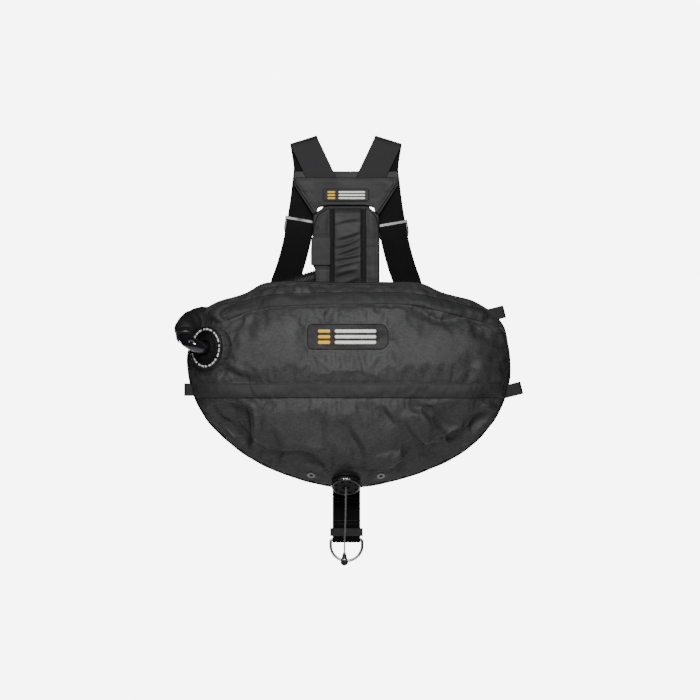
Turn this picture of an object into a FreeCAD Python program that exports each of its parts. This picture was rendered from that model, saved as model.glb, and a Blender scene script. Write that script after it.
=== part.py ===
"""Sidemount buoyancy compensator vest: soft harness, weight pockets, wing, valves and inflator.

Millimetres. X runs across the back, +Y points to the diver's side, -Y is the outer side, +Z is up.
The origin is midway between the folds of the two shoulder straps, where the vest hangs.
"""
import FreeCAD, Part
import math
import os

V = FreeCAD.Vector
X_AXIS = V(1, 0, 0)
Y_AXIS = V(0, 1, 0)
Z_AXIS = V(0, 0, 1)

# Webbing and tape
WEB_W = 50.0                    # harness webbing, width
WEB_T = 2.4                     # harness webbing, thickness
TAPE_T = 1.6                    # 25 mm tape, thickness
GAP = 0.3                       # free gap between neighbouring pieces

# Shoulder plate
PLATE_TOP = -58.0
PLATE_EAR = 94.5                # half width over the ears
PLATE_INNER_Y = (-6.0, -3.0)
PLATE_CORE_Y = (-8.9, -6.3)
PLATE_OUTER_Y = (-12.4, -9.2)
COVER_TOP = -69.5               # upper seam of the outer panel
STRAP_REAR_Y = -7.6             # centre plane of the sewn strap ends
STRAP_FOLD_R = 8.0

# Spine and pockets
SPINE_Y = (-2.6, -0.2)
SPINE_LOW = -400.0
POCKET_BACK_Y = -3.0
POCKET_LOW = -300.0

# Wing
WING_SEAM_Y = -34.0
WING_CENTRE = (4.0, -440.0)
SHELL_T = 2.4
BLADDER_GAP = 1.5
BLADDER_T = 1.0
PATCH_T = 1.2
EYELET_R = 3.4                  # bore
EYELET_RIM = 3.8                # width of the rim that shows
EYELETS = [
    (V(-62, -57.5, -604.5), V(-0.12, -0.62, -0.78).normalize()),
    (V(62.4, -58.5, -605.6), V(0.12, -0.62, -0.78).normalize()),
]
WING_POINTS = [
    (0, -263), (84, -261.5), (131, -263), (178, -282), (232, -297), (277, -331), (290, -373), (294, -415),
    (287, -460), (262, -512), (215, -560), (151, -594), (75, -618), (0, -628),
    (-75, -615), (-151, -586), (-205, -550), (-250, -505), (-275, -455), (-284, -407),
    (-279, -372), (-262, -338), (-243, -298), (-180, -279), (-131, -261),
]
WING_PROFILE = [
    (-12, 70), (-16, 45), (-22, 22), (WING_SEAM_Y, 0), (-45, 4), (-60, 14), (-75, 30), (-88, 52), (-97, 80),
    (-102, 112),
]
OUTLINE_STEPS = 44
WING_SCREWS = [V(px, 0, pz) for px in (-40, 40) for pz in (-330, -385)]
# Root, direction and length of each end loop: left, right and upper right.
LOOP_TABS = [
    (V(-277, -34, -453), V(-1, 0, 0), 14),
    (V(290, -34, -456), V(0.97, 0, 0.24), 27),
    (V(262, -34, -318), V(0.97, 0, 0.24), 24),
]

# Waist belt and lumbar plate
BELT_Z = -472.0
BELT_REAR_Y = 0.6
BELT_FRONT_Y = 46.0
BELT_HALF = 205.0
LUMBAR_Y = (-5.0, -1.0)

# Crotch strap
CROTCH_Y = -8.8
CROTCH_BAR = V(0.8, -4.0, -724.0)

# D-rings
RING_WIRE_R = 2.6
RING_HALF = 25.5                # centreline half width
RING_DROP = 41.5                # bar to bottom, centreline
RING_SIDE = 16.0                # length of the straight sides
RING_AXIS_Y = 6.2               # bar, outward of the webbing's centre plane
SLIDER_HEIGHTS = {"left": (-1, -145.0), "right": (1, -152.0)}
WAIST_RING_X = 120.0
BUCKLE_PIN = V(-22, BELT_FRONT_Y + 5.8, BELT_Z)
BUCKLE_PIN_R = 2.0

# Valves and hose
PORT = V(-248, -84, -378)
PORT_DIR = V(-0.66, -0.75, 0.05).normalize()
DUMP = V(0, -62, -616)
DUMP_DIR = V(0, -0.56, -0.83).normalize()
ELBOW_R = 11.3
HOSE_R = 13.5
HOSE_BORE_R = 11.3
SLEEVE_R = 19.5
INFLATOR = V(4, 24, -200)       # bottom centre of the inflator body
INFLATOR_TOP = -110.0
INFLATE_Z = -182.0
MOUTH_Z = -129.0
MOUTH_BORE_R = 9.0
NIPPLE_Z = -177.0
NIPPLE_R = 4.75
CORD_R = 1.4
HOSE_ROUTE = [
    V(-287.6, -84, -358),
    V(-290, -68, -348),
    V(-287, -44, -338),
    V(-272, -20, -333),
    V(-246, -2, -325),
    V(-212, 8, -311),
    V(-176, 13, -294),
    V(-136, 16, -276),
    V(-98, 18, -263),
    V(-62, 20, -251),
    V(-30, 22, -243),
    V(-5, 23.5, -231),
    V(4, 24, -217),
    V(4, 24, -203),
]
HOSE_START = HOSE_ROUTE[0]
HOSE_DIR = (HOSE_ROUTE[1] - HOSE_START).normalize()
ELBOW_ROUTE = [
    PORT + PORT_DIR * 3,
    PORT + PORT_DIR * 18,
    V(-273, -103, -372),
    HOSE_START - HOSE_DIR * 13,
    HOSE_START - HOSE_DIR * 0.4,
]
CORD_TOP = DUMP + DUMP_DIR * 2.2
CORD_LIP = DUMP + DUMP_DIR * 13.0
CORD_ROUTE = [
    CORD_TOP,
    CORD_LIP,
    CORD_LIP + V(-0.3, -1.0, -20),
    CORD_LIP + V(-0.9, -0.4, -56),
    CORD_LIP + V(-2.1, 0.6, -90),
    CORD_LIP + V(-2.9, 0.9, -118),
]


def save(name, shape):
    """Writes one node and reports its volume."""
    if not shape.isValid():
        print("not valid:", name)
    shape.exportStep(f"parts/{name}.step")
    print(f"{name:28s} {len(shape.Solids):2d} solids {shape.Volume / 1000:10.2f} cm3")


def block(x, y, z):
    """A box between two limits on each axis."""
    return Part.makeBox(x[1] - x[0], y[1] - y[0], z[1] - z[0], V(x[0], y[0], z[0]))


def disc(centre, axis, radius, start, end):
    """A cylinder on an axis through centre, from start to end along it."""
    return Part.makeCylinder(radius, end - start, centre + axis * start, axis)


def ring(centre, axis, outer, inner, start, end):
    """A cylinder with a bore."""
    return disc(centre, axis, outer, start, end).cut(disc(centre, axis, inner, start - 1, end + 1))


def plate(outline, y):
    """A flat panel: an outline in X and Z, between two depths."""
    points = [V(px, y[0], pz) for px, pz in outline]
    face = Part.Face(Part.makePolygon(points + [points[0]]))
    return face.extrude(V(0, y[1] - y[0], 0))


def mirrored(points):
    """The right half of an outline, top to bottom, and its mirror image."""
    return points + [(-px, pz) for px, pz in reversed(points)]


def ribbon(stations, width=WEB_W, thickness=WEB_T):
    """Flat webbing through stations of (centre, direction across)."""
    wires = []
    last = len(stations) - 1
    for i, (centre, across) in enumerate(stations):
        along = stations[min(i + 1, last)][0] - stations[max(i - 1, 0)][0]
        along.normalize()
        side = (across - along * across.dot(along)).normalize()
        normal = along.cross(side)
        half = side * (width / 2)
        deep = normal * (thickness / 2)
        corners = [centre + half + deep, centre + half - deep, centre - half - deep, centre - half + deep]
        wires.append(Part.makePolygon(corners + [corners[0]]))
    return Part.makeLoft(wires, True, True)


def bends(points):
    """The radius of the tangent arc at each inner point of a route."""
    radii = []
    for before, here, after in zip(points, points[1:], points[2:]):
        turn = (here - before).getAngle(after - here)
        run = min((here - before).Length, (after - here).Length)
        radii.append(0.45 * run / math.tan(turn / 2))
    return radii


def route(points):
    """Straight runs joined by tangent arcs."""
    edges = []
    start = points[0]
    for before, here, after, radius in zip(points, points[1:], points[2:], bends(points)):
        inward = (here - before).normalize()
        outward = (after - here).normalize()
        turn = inward.getAngle(outward)
        reach = radius * math.tan(turn / 2)
        first = here - inward * reach
        second = here + outward * reach
        to_centre = (outward - inward).normalize()
        middle = here + to_centre * (radius / math.cos(turn / 2) - radius)
        edges.append(Part.LineSegment(start, first).toShape())
        edges.append(Part.Arc(first, middle, second).toShape())
        start = second
    edges.append(Part.LineSegment(start, points[-1]).toShape())
    return Part.Wire(edges)


def swept(wire, start, direction, radius):
    """A round bar along a wire."""
    circle = Part.Wire([Part.makeCircle(radius, start, direction)])
    return wire.makePipeShell([circle], True, False)


def pipe(points, radius, bore=0.0):
    """A round tube along a route."""
    wire = route(points)
    direction = points[1] - points[0]
    body = swept(wire, points[0], direction, radius)
    if bore:
        body = body.cut(swept(wire, points[0], direction, bore))
    return body


def placed(shape, origin, across, up):
    """Moves a shape from its own axes (X across, Z up, Y outward) to where it is worn."""
    out = up.cross(across)
    matrix = FreeCAD.Matrix(
        across.x, out.x, up.x, origin.x,
        across.y, out.y, up.y, origin.y,
        across.z, out.z, up.z, origin.z,
        0, 0, 0, 1,
    )
    shape.Placement = FreeCAD.Placement(matrix).multiply(shape.Placement)
    return shape


# ---------------------------------------------------------------- hardware

def d_ring(half, drop, side, wire_r, corner=5.0):
    """A D-ring in its own axes: the straight bar on X through the origin, the bow below it."""
    left, right = -half, half
    shift = corner * (1 - math.sqrt(0.5))
    edges = [
        Part.LineSegment(V(left + corner, 0, 0), V(right - corner, 0, 0)).toShape(),
        Part.Arc(V(right - corner, 0, 0), V(right - shift, 0, -shift), V(right, 0, -corner)).toShape(),
        Part.LineSegment(V(right, 0, -corner), V(right, 0, -side)).toShape(),
        Part.Arc(V(right, 0, -side), V(0, 0, -drop), V(left, 0, -side)).toShape(),
        Part.LineSegment(V(left, 0, -side), V(left, 0, -corner)).toShape(),
        Part.Arc(V(left, 0, -corner), V(left + shift, 0, -shift), V(left + corner, 0, 0)).toShape(),
    ]
    solid = None
    for edge in edges:
        start = edge.valueAt(edge.FirstParameter)
        direction = edge.tangentAt(edge.FirstParameter)
        piece = swept(Part.Wire([edge]), start, direction, wire_r)
        solid = piece if solid is None else solid.fuse(piece)
    return solid.removeSplitter()


def ring_slider():
    """A webbing slider with a barrel for a D-ring, in its own axes."""
    outer = block((-29, 29), (-4.6, 3.2), (-2.2, 2.2))
    slot = block((-26, 26), (-1.8, 1.8), (-3, 3))
    barrel = disc(V(0, RING_AXIS_Y, 0), X_AXIS, 4.4, -19, 19)
    bore = disc(V(0, RING_AXIS_Y, 0), X_AXIS, RING_WIRE_R + GAP, -30, 30)
    return outer.cut(slot).fuse(barrel).cut(bore).removeSplitter()


def worn_ring():
    """The D-ring that hangs in a ring_slider."""
    made = d_ring(RING_HALF, RING_DROP, RING_SIDE, RING_WIRE_R)
    made.translate(V(0, RING_AXIS_Y, 0))
    return made


# ---------------------------------------------------------------- harness

def plate_outline(inset):
    """The shoulder plate's outline, drawn in by inset."""
    top = PLATE_TOP if inset == 0 else COVER_TOP
    return mirrored([
        (PLATE_EAR - inset, top),
        (PLATE_EAR - inset, -83 + inset / 2),
        (59 - inset, -138 + inset),
        (52, -134 + inset),
        (51, -124 + inset / 2),
        (30, -121 + inset / 2),
    ])


def strap_stations(side):
    """One shoulder strap: sewn end, fold over the shoulder, and the chest run to the lumbar plate."""
    rear = V(0.905 * side, 0, -0.426)
    fold = V(0.957 * side, 0, -0.289)
    front = V(0.99 * side, 0, -0.14)
    top = V(77 * side, STRAP_REAR_Y + STRAP_FOLD_R, -1.8 - STRAP_FOLD_R)
    made = [
        (V(32.7 * side, STRAP_REAR_Y, -96), rear),
        (V(48 * side, STRAP_REAR_Y, -63.5), rear),
        (V(70 * side, STRAP_REAR_Y, -17), rear),
    ]
    for i, across in enumerate([rear, fold, fold, fold, front]):
        angle = math.radians(180 - 45 * i)
        shift = (-3.5, -1.7, 0, -0.6, -1.2)[i] * side
        offset = V(shift, STRAP_FOLD_R * math.cos(angle), STRAP_FOLD_R * math.sin(angle))
        made.append((top + offset, across))
    chest = [
        (70, 3.4, -50, 0.05),
        (72.5, 6.4, -80, -0.08),
        (78.5, 12.4, -126, -0.19),
        (88, 20.0, -180, -0.23),
        (100, 29.4, -226, -0.28),
        (112.5, 36.4, -262, -0.30),
        (122, 37.4, -300, -0.16),
        (127, 28.4, -340, -0.06),
        (128, 12.4, -378, 0.0),
        (127, 2.4, -404, 0.0),
        (126.5, 0.6, -418, 0.0),
        (126, 0.6, -441, 0.0),
    ]
    for px, py, pz, tilt in chest:
        made.append((V(px * side, py, pz), V(side, 0, tilt).normalize()))
    return made


def strap_frame(side, height):
    """Origin, across and up of a shoulder strap's chest run at a height."""
    chest = strap_stations(side)[8:]
    for (upper, across_a), (lower, across_b) in zip(chest, chest[1:]):
        if upper.z >= height >= lower.z:
            share = (upper.z - height) / (upper.z - lower.z)
            up = (upper - lower).normalize()
            across = (across_a * (1 - share) + across_b * share) * side
            across = (across - up * across.dot(up)).normalize()
            return upper + (lower - upper) * share, across, up
    raise ValueError("height is outside the strap")


def shoulder_hardware():
    """Sliders and D-rings on the two chest runs."""
    for name, (side, height) in SLIDER_HEIGHTS.items():
        origin, across, up = strap_frame(side, height)
        save(f"{name}_shoulder_slider", placed(ring_slider(), origin, across, up))
        hung = worn_ring()
        save(f"{name}_shoulder_ring", placed(hung, origin, across, up))
        pivot = origin + up.cross(across) * RING_AXIS_Y
        print(name, "shoulder ring pivot", pivot, "axis", across, "up", up)


def shoulder_plate():
    """Inner panel, stiffener, outer panel and a plain woven patch."""
    save("plate_inner_panel", plate(plate_outline(0), PLATE_INNER_Y))
    save("plate_stiffener", plate(mirrored([(42, -108), (40, -118)]), PLATE_CORE_Y))
    save("plate_outer_panel", plate(plate_outline(3), PLATE_OUTER_Y))
    patch = plate(mirrored([(42, -90), (42, -113)]), (PLATE_OUTER_Y[0] - 1.3, PLATE_OUTER_Y[0] - GAP))
    save("plate_patch", patch)


def shoulder_straps():
    """The two shoulder straps."""
    for name, side in (("left", -1), ("right", 1)):
        save(f"{name}_shoulder_strap", ribbon(strap_stations(side)))


def pockets():
    """Spine backing, the middle weight pocket, the two side pockets and the flap."""
    half = [(38, -100), (38, -125), (44, -135), (58, -139), (60, -160), (55, -186), (55, SPINE_LOW)]
    backing = plate(mirrored(half), SPINE_Y)
    for point in WING_SCREWS:
        backing = backing.cut(disc(point, Y_AXIS, 3.3, -20, 20))
    save("spine_backing", backing)

    middle = plate([(-22.5, -122.5), (28.5, -122.5), (28.5, -296), (-22.5, -296)], (-22, POCKET_BACK_Y))
    slope = block((-40, 50), (-30, 0), (0, 30))
    slope.rotate(V(0, 0, 0), X_AXIS, 35)
    slope.translate(V(0, -9, -122))
    tail = block((-40, 50), (-30, 0), (-90, 10))
    tail.rotate(V(0, 0, 0), X_AXIS, 12)
    tail.translate(V(0, -22, -228))
    save("middle_pocket", middle.cut(slope).cut(tail))

    left = [(-28, -125), (-37, -130), (-49, -141), (-57, -156), (-60.5, -176), (-60.5, -229), (-56.5, -234),
            (-56.5, POCKET_LOW), (-28, POCKET_LOW)]
    save("left_pocket", plate(left, (-15, POCKET_BACK_Y)))
    right = [(34, -125), (43, -132), (53, -146), (59.5, -164), (61, -190), (61, POCKET_LOW),
             (34, POCKET_LOW)]
    save("right_pocket", plate(right, (-17, POCKET_BACK_Y)))
    flap = plate([(-27.5, -177), (-62, -177), (-63.5, -200), (-63.5, -229), (-27.5, -229)], (-18, -15.4))
    save("pocket_flap", flap)
    channels = [block((cx - 1.8, cx + 1.8), (-9, POCKET_BACK_Y), (POCKET_LOW, -126)) for cx in (-25.2, 31.3)]
    save("pocket_channels", Part.makeCompound(channels))


def lumbar():
    """Lumbar plate, waist belt halves and the cam buckle."""
    outline = mirrored([(60, -402.5), (150, -408), (156, -440), (150, -500), (60, -506)])
    save("lumbar_plate", plate(outline, LUMBAR_Y))
    radius = (BELT_FRONT_Y - BELT_REAR_Y) / 2
    for name, side, end in (("left", -1, 6.0), ("right", 1, 13.0)):
        corner = V(BELT_HALF * side, BELT_REAR_Y, BELT_Z)
        stations = [(V(8 * side, BELT_REAR_Y, BELT_Z), Z_AXIS), (corner, Z_AXIS)]
        for i in range(1, 8):
            angle = math.radians(-90 + 22.5 * i)
            offset = V(radius * math.cos(angle) * side, radius + radius * math.sin(angle), 0)
            stations.append((corner + offset, Z_AXIS))
        stations.append((V(BELT_HALF * side, BELT_FRONT_Y, BELT_Z), Z_AXIS))
        stations.append((V(end, BELT_FRONT_Y, BELT_Z), Z_AXIS))
        save(f"{name}_waist_belt", ribbon(stations))

    for name, side in (("left", -1), ("right", 1)):
        origin = V(WAIST_RING_X * side, BELT_FRONT_Y, BELT_Z)
        across = V(0, 0, side)
        up = V(-side, 0, 0)
        save(f"{name}_waist_slider", placed(ring_slider(), origin, across, up))
        save(f"{name}_waist_ring", placed(worn_ring(), origin, across, up))
        print(name, "waist ring pivot", origin + up.cross(across) * RING_AXIS_Y, "axis", across)


def buckle():
    """Cam buckle: frame, hinge pin and lever."""
    front = BELT_FRONT_Y
    low, high = BELT_Z - 29, BELT_Z + 29
    frame = block((-30, 34), (front - 4.6, front - 2.0), (low, high))
    for z in ((low, low + 2.6), (high - 2.6, high)):
        frame = frame.fuse(block((-30, 34), (front - 2.0, front + 9), z))
    frame = frame.cut(disc(BUCKLE_PIN, Z_AXIS, BUCKLE_PIN_R + 0.02, -40, 40)).removeSplitter()
    save("buckle_frame", frame)
    save("buckle_pin", disc(BUCKLE_PIN, Z_AXIS, BUCKLE_PIN_R, -30, 30))
    half = 25.8
    barrel = disc(BUCKLE_PIN, Z_AXIS, 3.8, -half, half)
    paddle = block((-22, 32), (front + 5.0, front + 7.4), (BELT_Z - half, BELT_Z + half))
    lever = barrel.fuse(paddle).cut(disc(BUCKLE_PIN, Z_AXIS, BUCKLE_PIN_R + 0.08, -40, 40)).removeSplitter()
    save("buckle_lever", lever)


def crotch():
    """Crotch strap folded round its D-ring, with its keeper."""
    bar = CROTCH_BAR
    radius = bar.y - CROTCH_Y
    stations = [(V(bar.x, CROTCH_Y, -440), X_AXIS), (V(bar.x, CROTCH_Y, bar.z), X_AXIS)]
    for i in range(1, 8):
        angle = math.radians(180 + 22.5 * i)
        stations.append((bar + V(0, radius * math.cos(angle), radius * math.sin(angle)), X_AXIS))
    stations.append((V(bar.x, bar.y + radius, bar.z), X_AXIS))
    stations.append((V(bar.x, bar.y + radius, -645), X_AXIS))
    save("crotch_strap", ribbon(stations))

    outer = block((bar.x - 29.5, bar.x + 29.5), (-12.8, 4.8), (-718, -704))
    slot = block((bar.x - 26, bar.x + 26), (-10.3, 2.3), (-720, -700))
    save("crotch_keeper", outer.cut(slot))
    hung = d_ring(28.5, 39.0, 14.0, RING_WIRE_R)
    hung.translate(bar)
    save("crotch_ring", hung)


# ---------------------------------------------------------------- wing

def wing_outline():
    """Even points along the smooth closed outline."""
    curve = Part.BSplineCurve()
    curve.interpolate([V(px, 0, pz) for px, pz in WING_POINTS], PeriodicFlag=True)
    return curve.toShape().discretize(OUTLINE_STEPS + 1)[:-1]


def offset_profile(depth):
    """The wing's profile moved inward by depth, or outward where it is negative."""
    made = []
    last = len(WING_PROFILE) - 1
    for i, (y, inset) in enumerate(WING_PROFILE):
        if i in (0, last):
            made.append((y - depth if i == 0 else y + depth, inset))
            continue
        before = WING_PROFILE[i - 1]
        after = WING_PROFILE[i + 1]
        dy, di = after[0] - before[0], after[1] - before[1]
        length = math.hypot(dy, di)
        made.append((y + di / length * depth, inset - dy / length * depth))
    return made


def pillow(depth=0.0):
    """The closed body of the wing, moved inward by depth."""
    cx, cz = WING_CENTRE
    points = wing_outline()
    half_x = max(abs(p.x - cx) for p in points)
    half_z = max(abs(p.z - cz) for p in points)
    wires = []
    for y, inset in offset_profile(depth):
        sx, sz = 1 - inset / half_x, 1 - inset / half_z
        loop = [V(cx + (p.x - cx) * sx, y, cz + (p.z - cz) * sz) for p in points]
        wires.append(Part.makePolygon(loop + [loop[0]]))
    return Part.makeLoft(wires, True, True)


def wing():
    """Outer and inner shell, bladder and edge binding, with the valve openings cut."""
    body = pillow()
    hollow = pillow(SHELL_T)
    shell = body.cut(hollow)
    front = block((-400, 400), (-200, WING_SEAM_Y - 0.1), (-800, 0))
    back = block((-400, 400), (WING_SEAM_Y + 0.1, 100), (-800, 0))
    throat = disc(PORT, PORT_DIR, 14.6, -30, 20)
    drain = disc(DUMP, DUMP_DIR, 14.6, -20, 20)
    eyelets = [disc(point, axis, EYELET_R + 2.5, -12, 12) for point, axis in EYELETS]
    outer = shell.common(front).cut(throat).cut(drain)
    for hole in eyelets:
        outer = outer.cut(hole)
    save("wing_outer_shell", outer)
    save("wing_inner_shell", shell.common(back))
    bladder = pillow(SHELL_T + BLADDER_GAP).cut(pillow(SHELL_T + BLADDER_GAP + BLADDER_T))
    save("air_bladder", bladder.cut(throat).cut(drain))


def bands():
    """Sewn tapes, their end loops and the wing's plain patch."""
    lifted = pillow(-GAP)
    upper_line = [(-215, -318), (-175, -302), (-135, -294), (-60, -290), (0, -289), (97, -289), (142, -295),
                  (196, -308), (248, -321)]
    upper = [(px, pz + 11) for px, pz in upper_line] + [(px, pz - 11) for px, pz in reversed(upper_line)]
    lower = [(-275, -441.5), (284, -441.5), (284, -467.5), (-275, -467.5)]
    skin = pillow(-GAP - TAPE_T).cut(lifted)
    save("upper_band", skin.common(plate(upper, (-130, -36))))
    save("lower_band", skin.common(plate(lower, (-130, -36))))
    patch = [(-66, -335), (68, -335), (76, -347), (76, -372), (66, -381), (-66, -381), (-70, -372),
             (-70, -345)]
    thin = pillow(-GAP - PATCH_T).cut(lifted)
    save("wing_patch", thin.common(plate(patch, (-130, -36))))
    save("band_loops", Part.makeCompound([loop_tab(*tab).cut(lifted) for tab in LOOP_TABS]))


def loop_tab(root, direction, length):
    """A short loop of 25 mm tape that stands out of the wing's edge."""
    direction.normalize()
    across = direction.cross(Y_AXIS)
    half = 3.4
    turn = length - half
    stations = [(root + V(0, -half, 0), across), (root + direction * turn + V(0, -half, 0), across)]
    for i in range(1, 6):
        angle = math.radians(-90 + 30 * i)
        offset = direction * (turn + half * math.cos(angle)) + V(0, half * math.sin(angle), 0)
        stations.append((root + offset, across))
    stations.append((root + direction * turn + V(0, half, 0), across))
    stations.append((root + V(0, half, 0), across))
    return ribbon(stations, 23.0, TAPE_T)


# ---------------------------------------------------------------- valves and inflator

def port():
    """Inflation port: padded seat, flange and elbow."""
    seat = disc(PORT, PORT_DIR, 41, -22, -GAP).cut(disc(PORT, PORT_DIR, 14.9, -40, 5))
    save("port_seat", seat.cut(pillow(-GAP)))
    flange = disc(PORT, PORT_DIR, 38, 0, 5).fuse(disc(PORT, PORT_DIR, 14.2, -20, 0.5))
    save("port_flange", flange.cut(disc(PORT, PORT_DIR, 11.9, -25, 10)))
    save("port_elbow", pipe(ELBOW_ROUTE, ELBOW_R, ELBOW_R - 3))
    save("elbow_collar", ring(HOSE_START, HOSE_DIR, 16.5, HOSE_R + 0.2, 1, 9))


def hose():
    """Corrugated hose, the sleeve over the wing's corner and the tie at the inflator."""
    save("corrugated_hose", pipe(HOSE_ROUTE, HOSE_R, HOSE_BORE_R))
    wide = pipe(HOSE_ROUTE[1:6], SLEEVE_R)
    core = pipe(HOSE_ROUTE[:7], HOSE_R + 0.5)
    collar = disc(HOSE_START, HOSE_DIR, 17.5, -10, 10)
    valve = disc(PORT, PORT_DIR, 41.5, -24, 5.5)
    save("hose_sleeve", wide.cut(core).cut(collar).cut(valve).cut(pillow(-GAP)))
    for name, points in (("elbow", ELBOW_ROUTE), ("hose", HOSE_ROUTE)):
        print(name, "bend radii", [round(r, 1) for r in bends(points)])


def inflator():
    """Inflator body with its buttons, springs, mouthpiece, hose tie, supply nipple and keeper loop."""
    cx, cy, low = INFLATOR.x, INFLATOR.y, INFLATOR.z
    axis = V(cx, cy, 0)
    body = block((cx - 16, cx + 16), (cy - 15, cy + 15), (low, INFLATOR_TOP))
    upright = [edge for edge in body.Edges if abs(edge.tangentAt(edge.FirstParameter).z) > 0.99]
    body = body.makeFillet(6, upright)
    body = body.fuse(disc(axis, Z_AXIS, 11.0, low - 15, low + 1))
    body = body.cut(disc(axis, Z_AXIS, 7.0, low - 20, low + 30))
    body = body.cut(disc(axis, Z_AXIS, 9.4, INFLATOR_TOP - 9, INFLATOR_TOP + 5))
    side = V(0, cy, INFLATE_Z)
    body = body.cut(disc(side, X_AXIS, 8.4, cx + 8, cx + 30))
    mouth = V(cx, 0, MOUTH_Z)
    body = body.cut(disc(mouth, Y_AXIS, MOUTH_BORE_R, cy + 4, cy + 30))
    save("inflator_body", body)
    save("exhaust_button", disc(axis, Z_AXIS, 9.0, INFLATOR_TOP - 4.5, INFLATOR_TOP + 4.5))
    save("exhaust_spring", ring(axis, Z_AXIS, 6.0, 4.6, INFLATOR_TOP - 8.8, INFLATOR_TOP - 4.7))
    save("inflate_button", disc(side, X_AXIS, 8.0, cx + 12, cx + 20))
    save("inflate_spring", ring(side, X_AXIS, 5.5, 4.1, cx + 8.2, cx + 11.8))
    tube = ring(mouth, Y_AXIS, 12.5, MOUTH_BORE_R, cy + 15.2, cy + 34)
    lip = ring(mouth, Y_AXIS, 15.5, MOUTH_BORE_R, cy + 34, cy + 41)
    save("mouthpiece", tube.fuse(lip).removeSplitter())
    nipple = V(cx, 0, NIPPLE_Z)
    stem = disc(nipple, Y_AXIS, NIPPLE_R, cy + 17, cy + 30)
    stem = stem.fuse(disc(nipple, Y_AXIS, 7.5, cy + 15.2, cy + 18))
    save("supply_nipple", stem.cut(disc(nipple, Y_AXIS, 1.6, cy + 19, cy + 40)))
    save("hose_tie", ring(axis, Z_AXIS, 15.4, HOSE_R + 0.2, low - 11, low - 5))
    outer = block((cx - 18.4, cx + 18.4), (0.1, cy + 17.4), (-160, -147))
    inner = block((cx - 16.4, cx + 16.4), (1.9, cy + 15.4), (-170, -140))
    save("inflator_keeper", outer.cut(inner))


def dump_valve():
    """Bottom dump valve: flange with its seat, poppet, spring, cap, pull cord and toggle."""
    flange = disc(DUMP, DUMP_DIR, 26, 0, 4).fuse(disc(DUMP, DUMP_DIR, 14.2, -16, 0.5))
    flange = flange.cut(disc(DUMP, DUMP_DIR, 12, -1, 6)).cut(disc(DUMP, DUMP_DIR, 7, -20, 0))
    save("dump_flange", flange)
    poppet = disc(DUMP, DUMP_DIR, 10.5, -0.7, 1.8).cut(disc(DUMP, DUMP_DIR, 1.6, -3, 3))
    save("dump_poppet", poppet)
    save("dump_spring", ring(DUMP, DUMP_DIR, 8.5, 7.0, 2.1, 11.2))
    cap = disc(DUMP, DUMP_DIR, 25, 4.3, 14).cut(disc(DUMP, DUMP_DIR, 12.5, 4, 11.5))
    cap = cap.cut(disc(DUMP, DUMP_DIR, 6.5, 4, 20))
    tilt = DUMP_DIR.cross(X_AXIS)
    for i in range(8):
        angle = math.radians(45 * i + 22.5)
        centre = DUMP + X_AXIS * (18.5 * math.cos(angle)) + tilt * (18.5 * math.sin(angle))
        cap = cap.cut(disc(centre, DUMP_DIR, 2.4, 4, 20))
    save("dump_cap", cap)
    save("pull_cord", pipe(CORD_ROUTE, CORD_R))
    print("pull cord bend radii", [round(r, 1) for r in bends(CORD_ROUTE)])
    end = CORD_ROUTE[-1]
    neck = Part.makeCone(2.2, 5.6, 12.5, end, V(0, 0, -1))
    drop = Part.makeSphere(7.0, end + V(0, 0, -16.5))
    save("pull_toggle", neck.fuse(drop).removeSplitter())


def small_trim():
    """Drain eyelets and the screws that hold the wing to the spine."""
    eyelets = []
    for point, axis in EYELETS:
        barrel = ring(point, axis, EYELET_R + 2.2, EYELET_R, -1.5, 2.2)
        rim = ring(point, axis, EYELET_R + EYELET_RIM, EYELET_R, 2.1, 3.2)
        eyelets.append(barrel.fuse(rim).removeSplitter())
    save("drain_eyelets", Part.makeCompound(eyelets))
    screws = []
    for point in WING_SCREWS:
        head = disc(point, Y_AXIS, 8.0, -11.7, -9.7).fuse(disc(point, Y_AXIS, 3.0, -9.8, 1.0))
        screws.append(head.fuse(disc(point, Y_AXIS, 7.0, 0.1, 2.2)).removeSplitter())
    save("wing_screws", Part.makeCompound(screws))


os.makedirs("parts", exist_ok=True)
shoulder_plate()
shoulder_straps()
shoulder_hardware()
pockets()
lumbar()
buckle()
crotch()
wing()
bands()
port()
hose()
inflator()
dump_valve()
small_trim()
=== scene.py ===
"""Looks of the sidemount buoyancy compensator vest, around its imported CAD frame.

Lengths are millimetres in the CAD frame until a mesh is made: X right, +Y the diver's side, Z up.
"""
import math
from contextlib import contextmanager

import bpy
import bmesh
import numpy as np
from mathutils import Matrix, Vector
from mathutils.bvhtree import BVHTree


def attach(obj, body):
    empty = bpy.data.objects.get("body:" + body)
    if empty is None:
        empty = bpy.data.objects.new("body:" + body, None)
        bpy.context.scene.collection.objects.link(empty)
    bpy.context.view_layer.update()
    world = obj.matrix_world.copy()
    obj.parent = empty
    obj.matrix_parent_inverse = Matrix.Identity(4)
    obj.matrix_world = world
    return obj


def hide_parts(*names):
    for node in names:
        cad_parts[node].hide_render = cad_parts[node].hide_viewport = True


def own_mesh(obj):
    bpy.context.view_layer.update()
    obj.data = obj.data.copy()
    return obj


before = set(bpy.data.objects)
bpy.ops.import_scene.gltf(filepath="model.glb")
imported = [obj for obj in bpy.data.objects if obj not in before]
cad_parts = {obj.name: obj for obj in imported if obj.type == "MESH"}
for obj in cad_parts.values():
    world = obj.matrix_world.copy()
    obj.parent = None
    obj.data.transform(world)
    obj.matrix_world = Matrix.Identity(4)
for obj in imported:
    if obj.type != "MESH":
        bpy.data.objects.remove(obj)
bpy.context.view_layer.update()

MM = 0.001
X, Y, Z = Vector((1, 0, 0)), Vector((0, 1, 0)), Vector((0, 0, 1))

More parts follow.
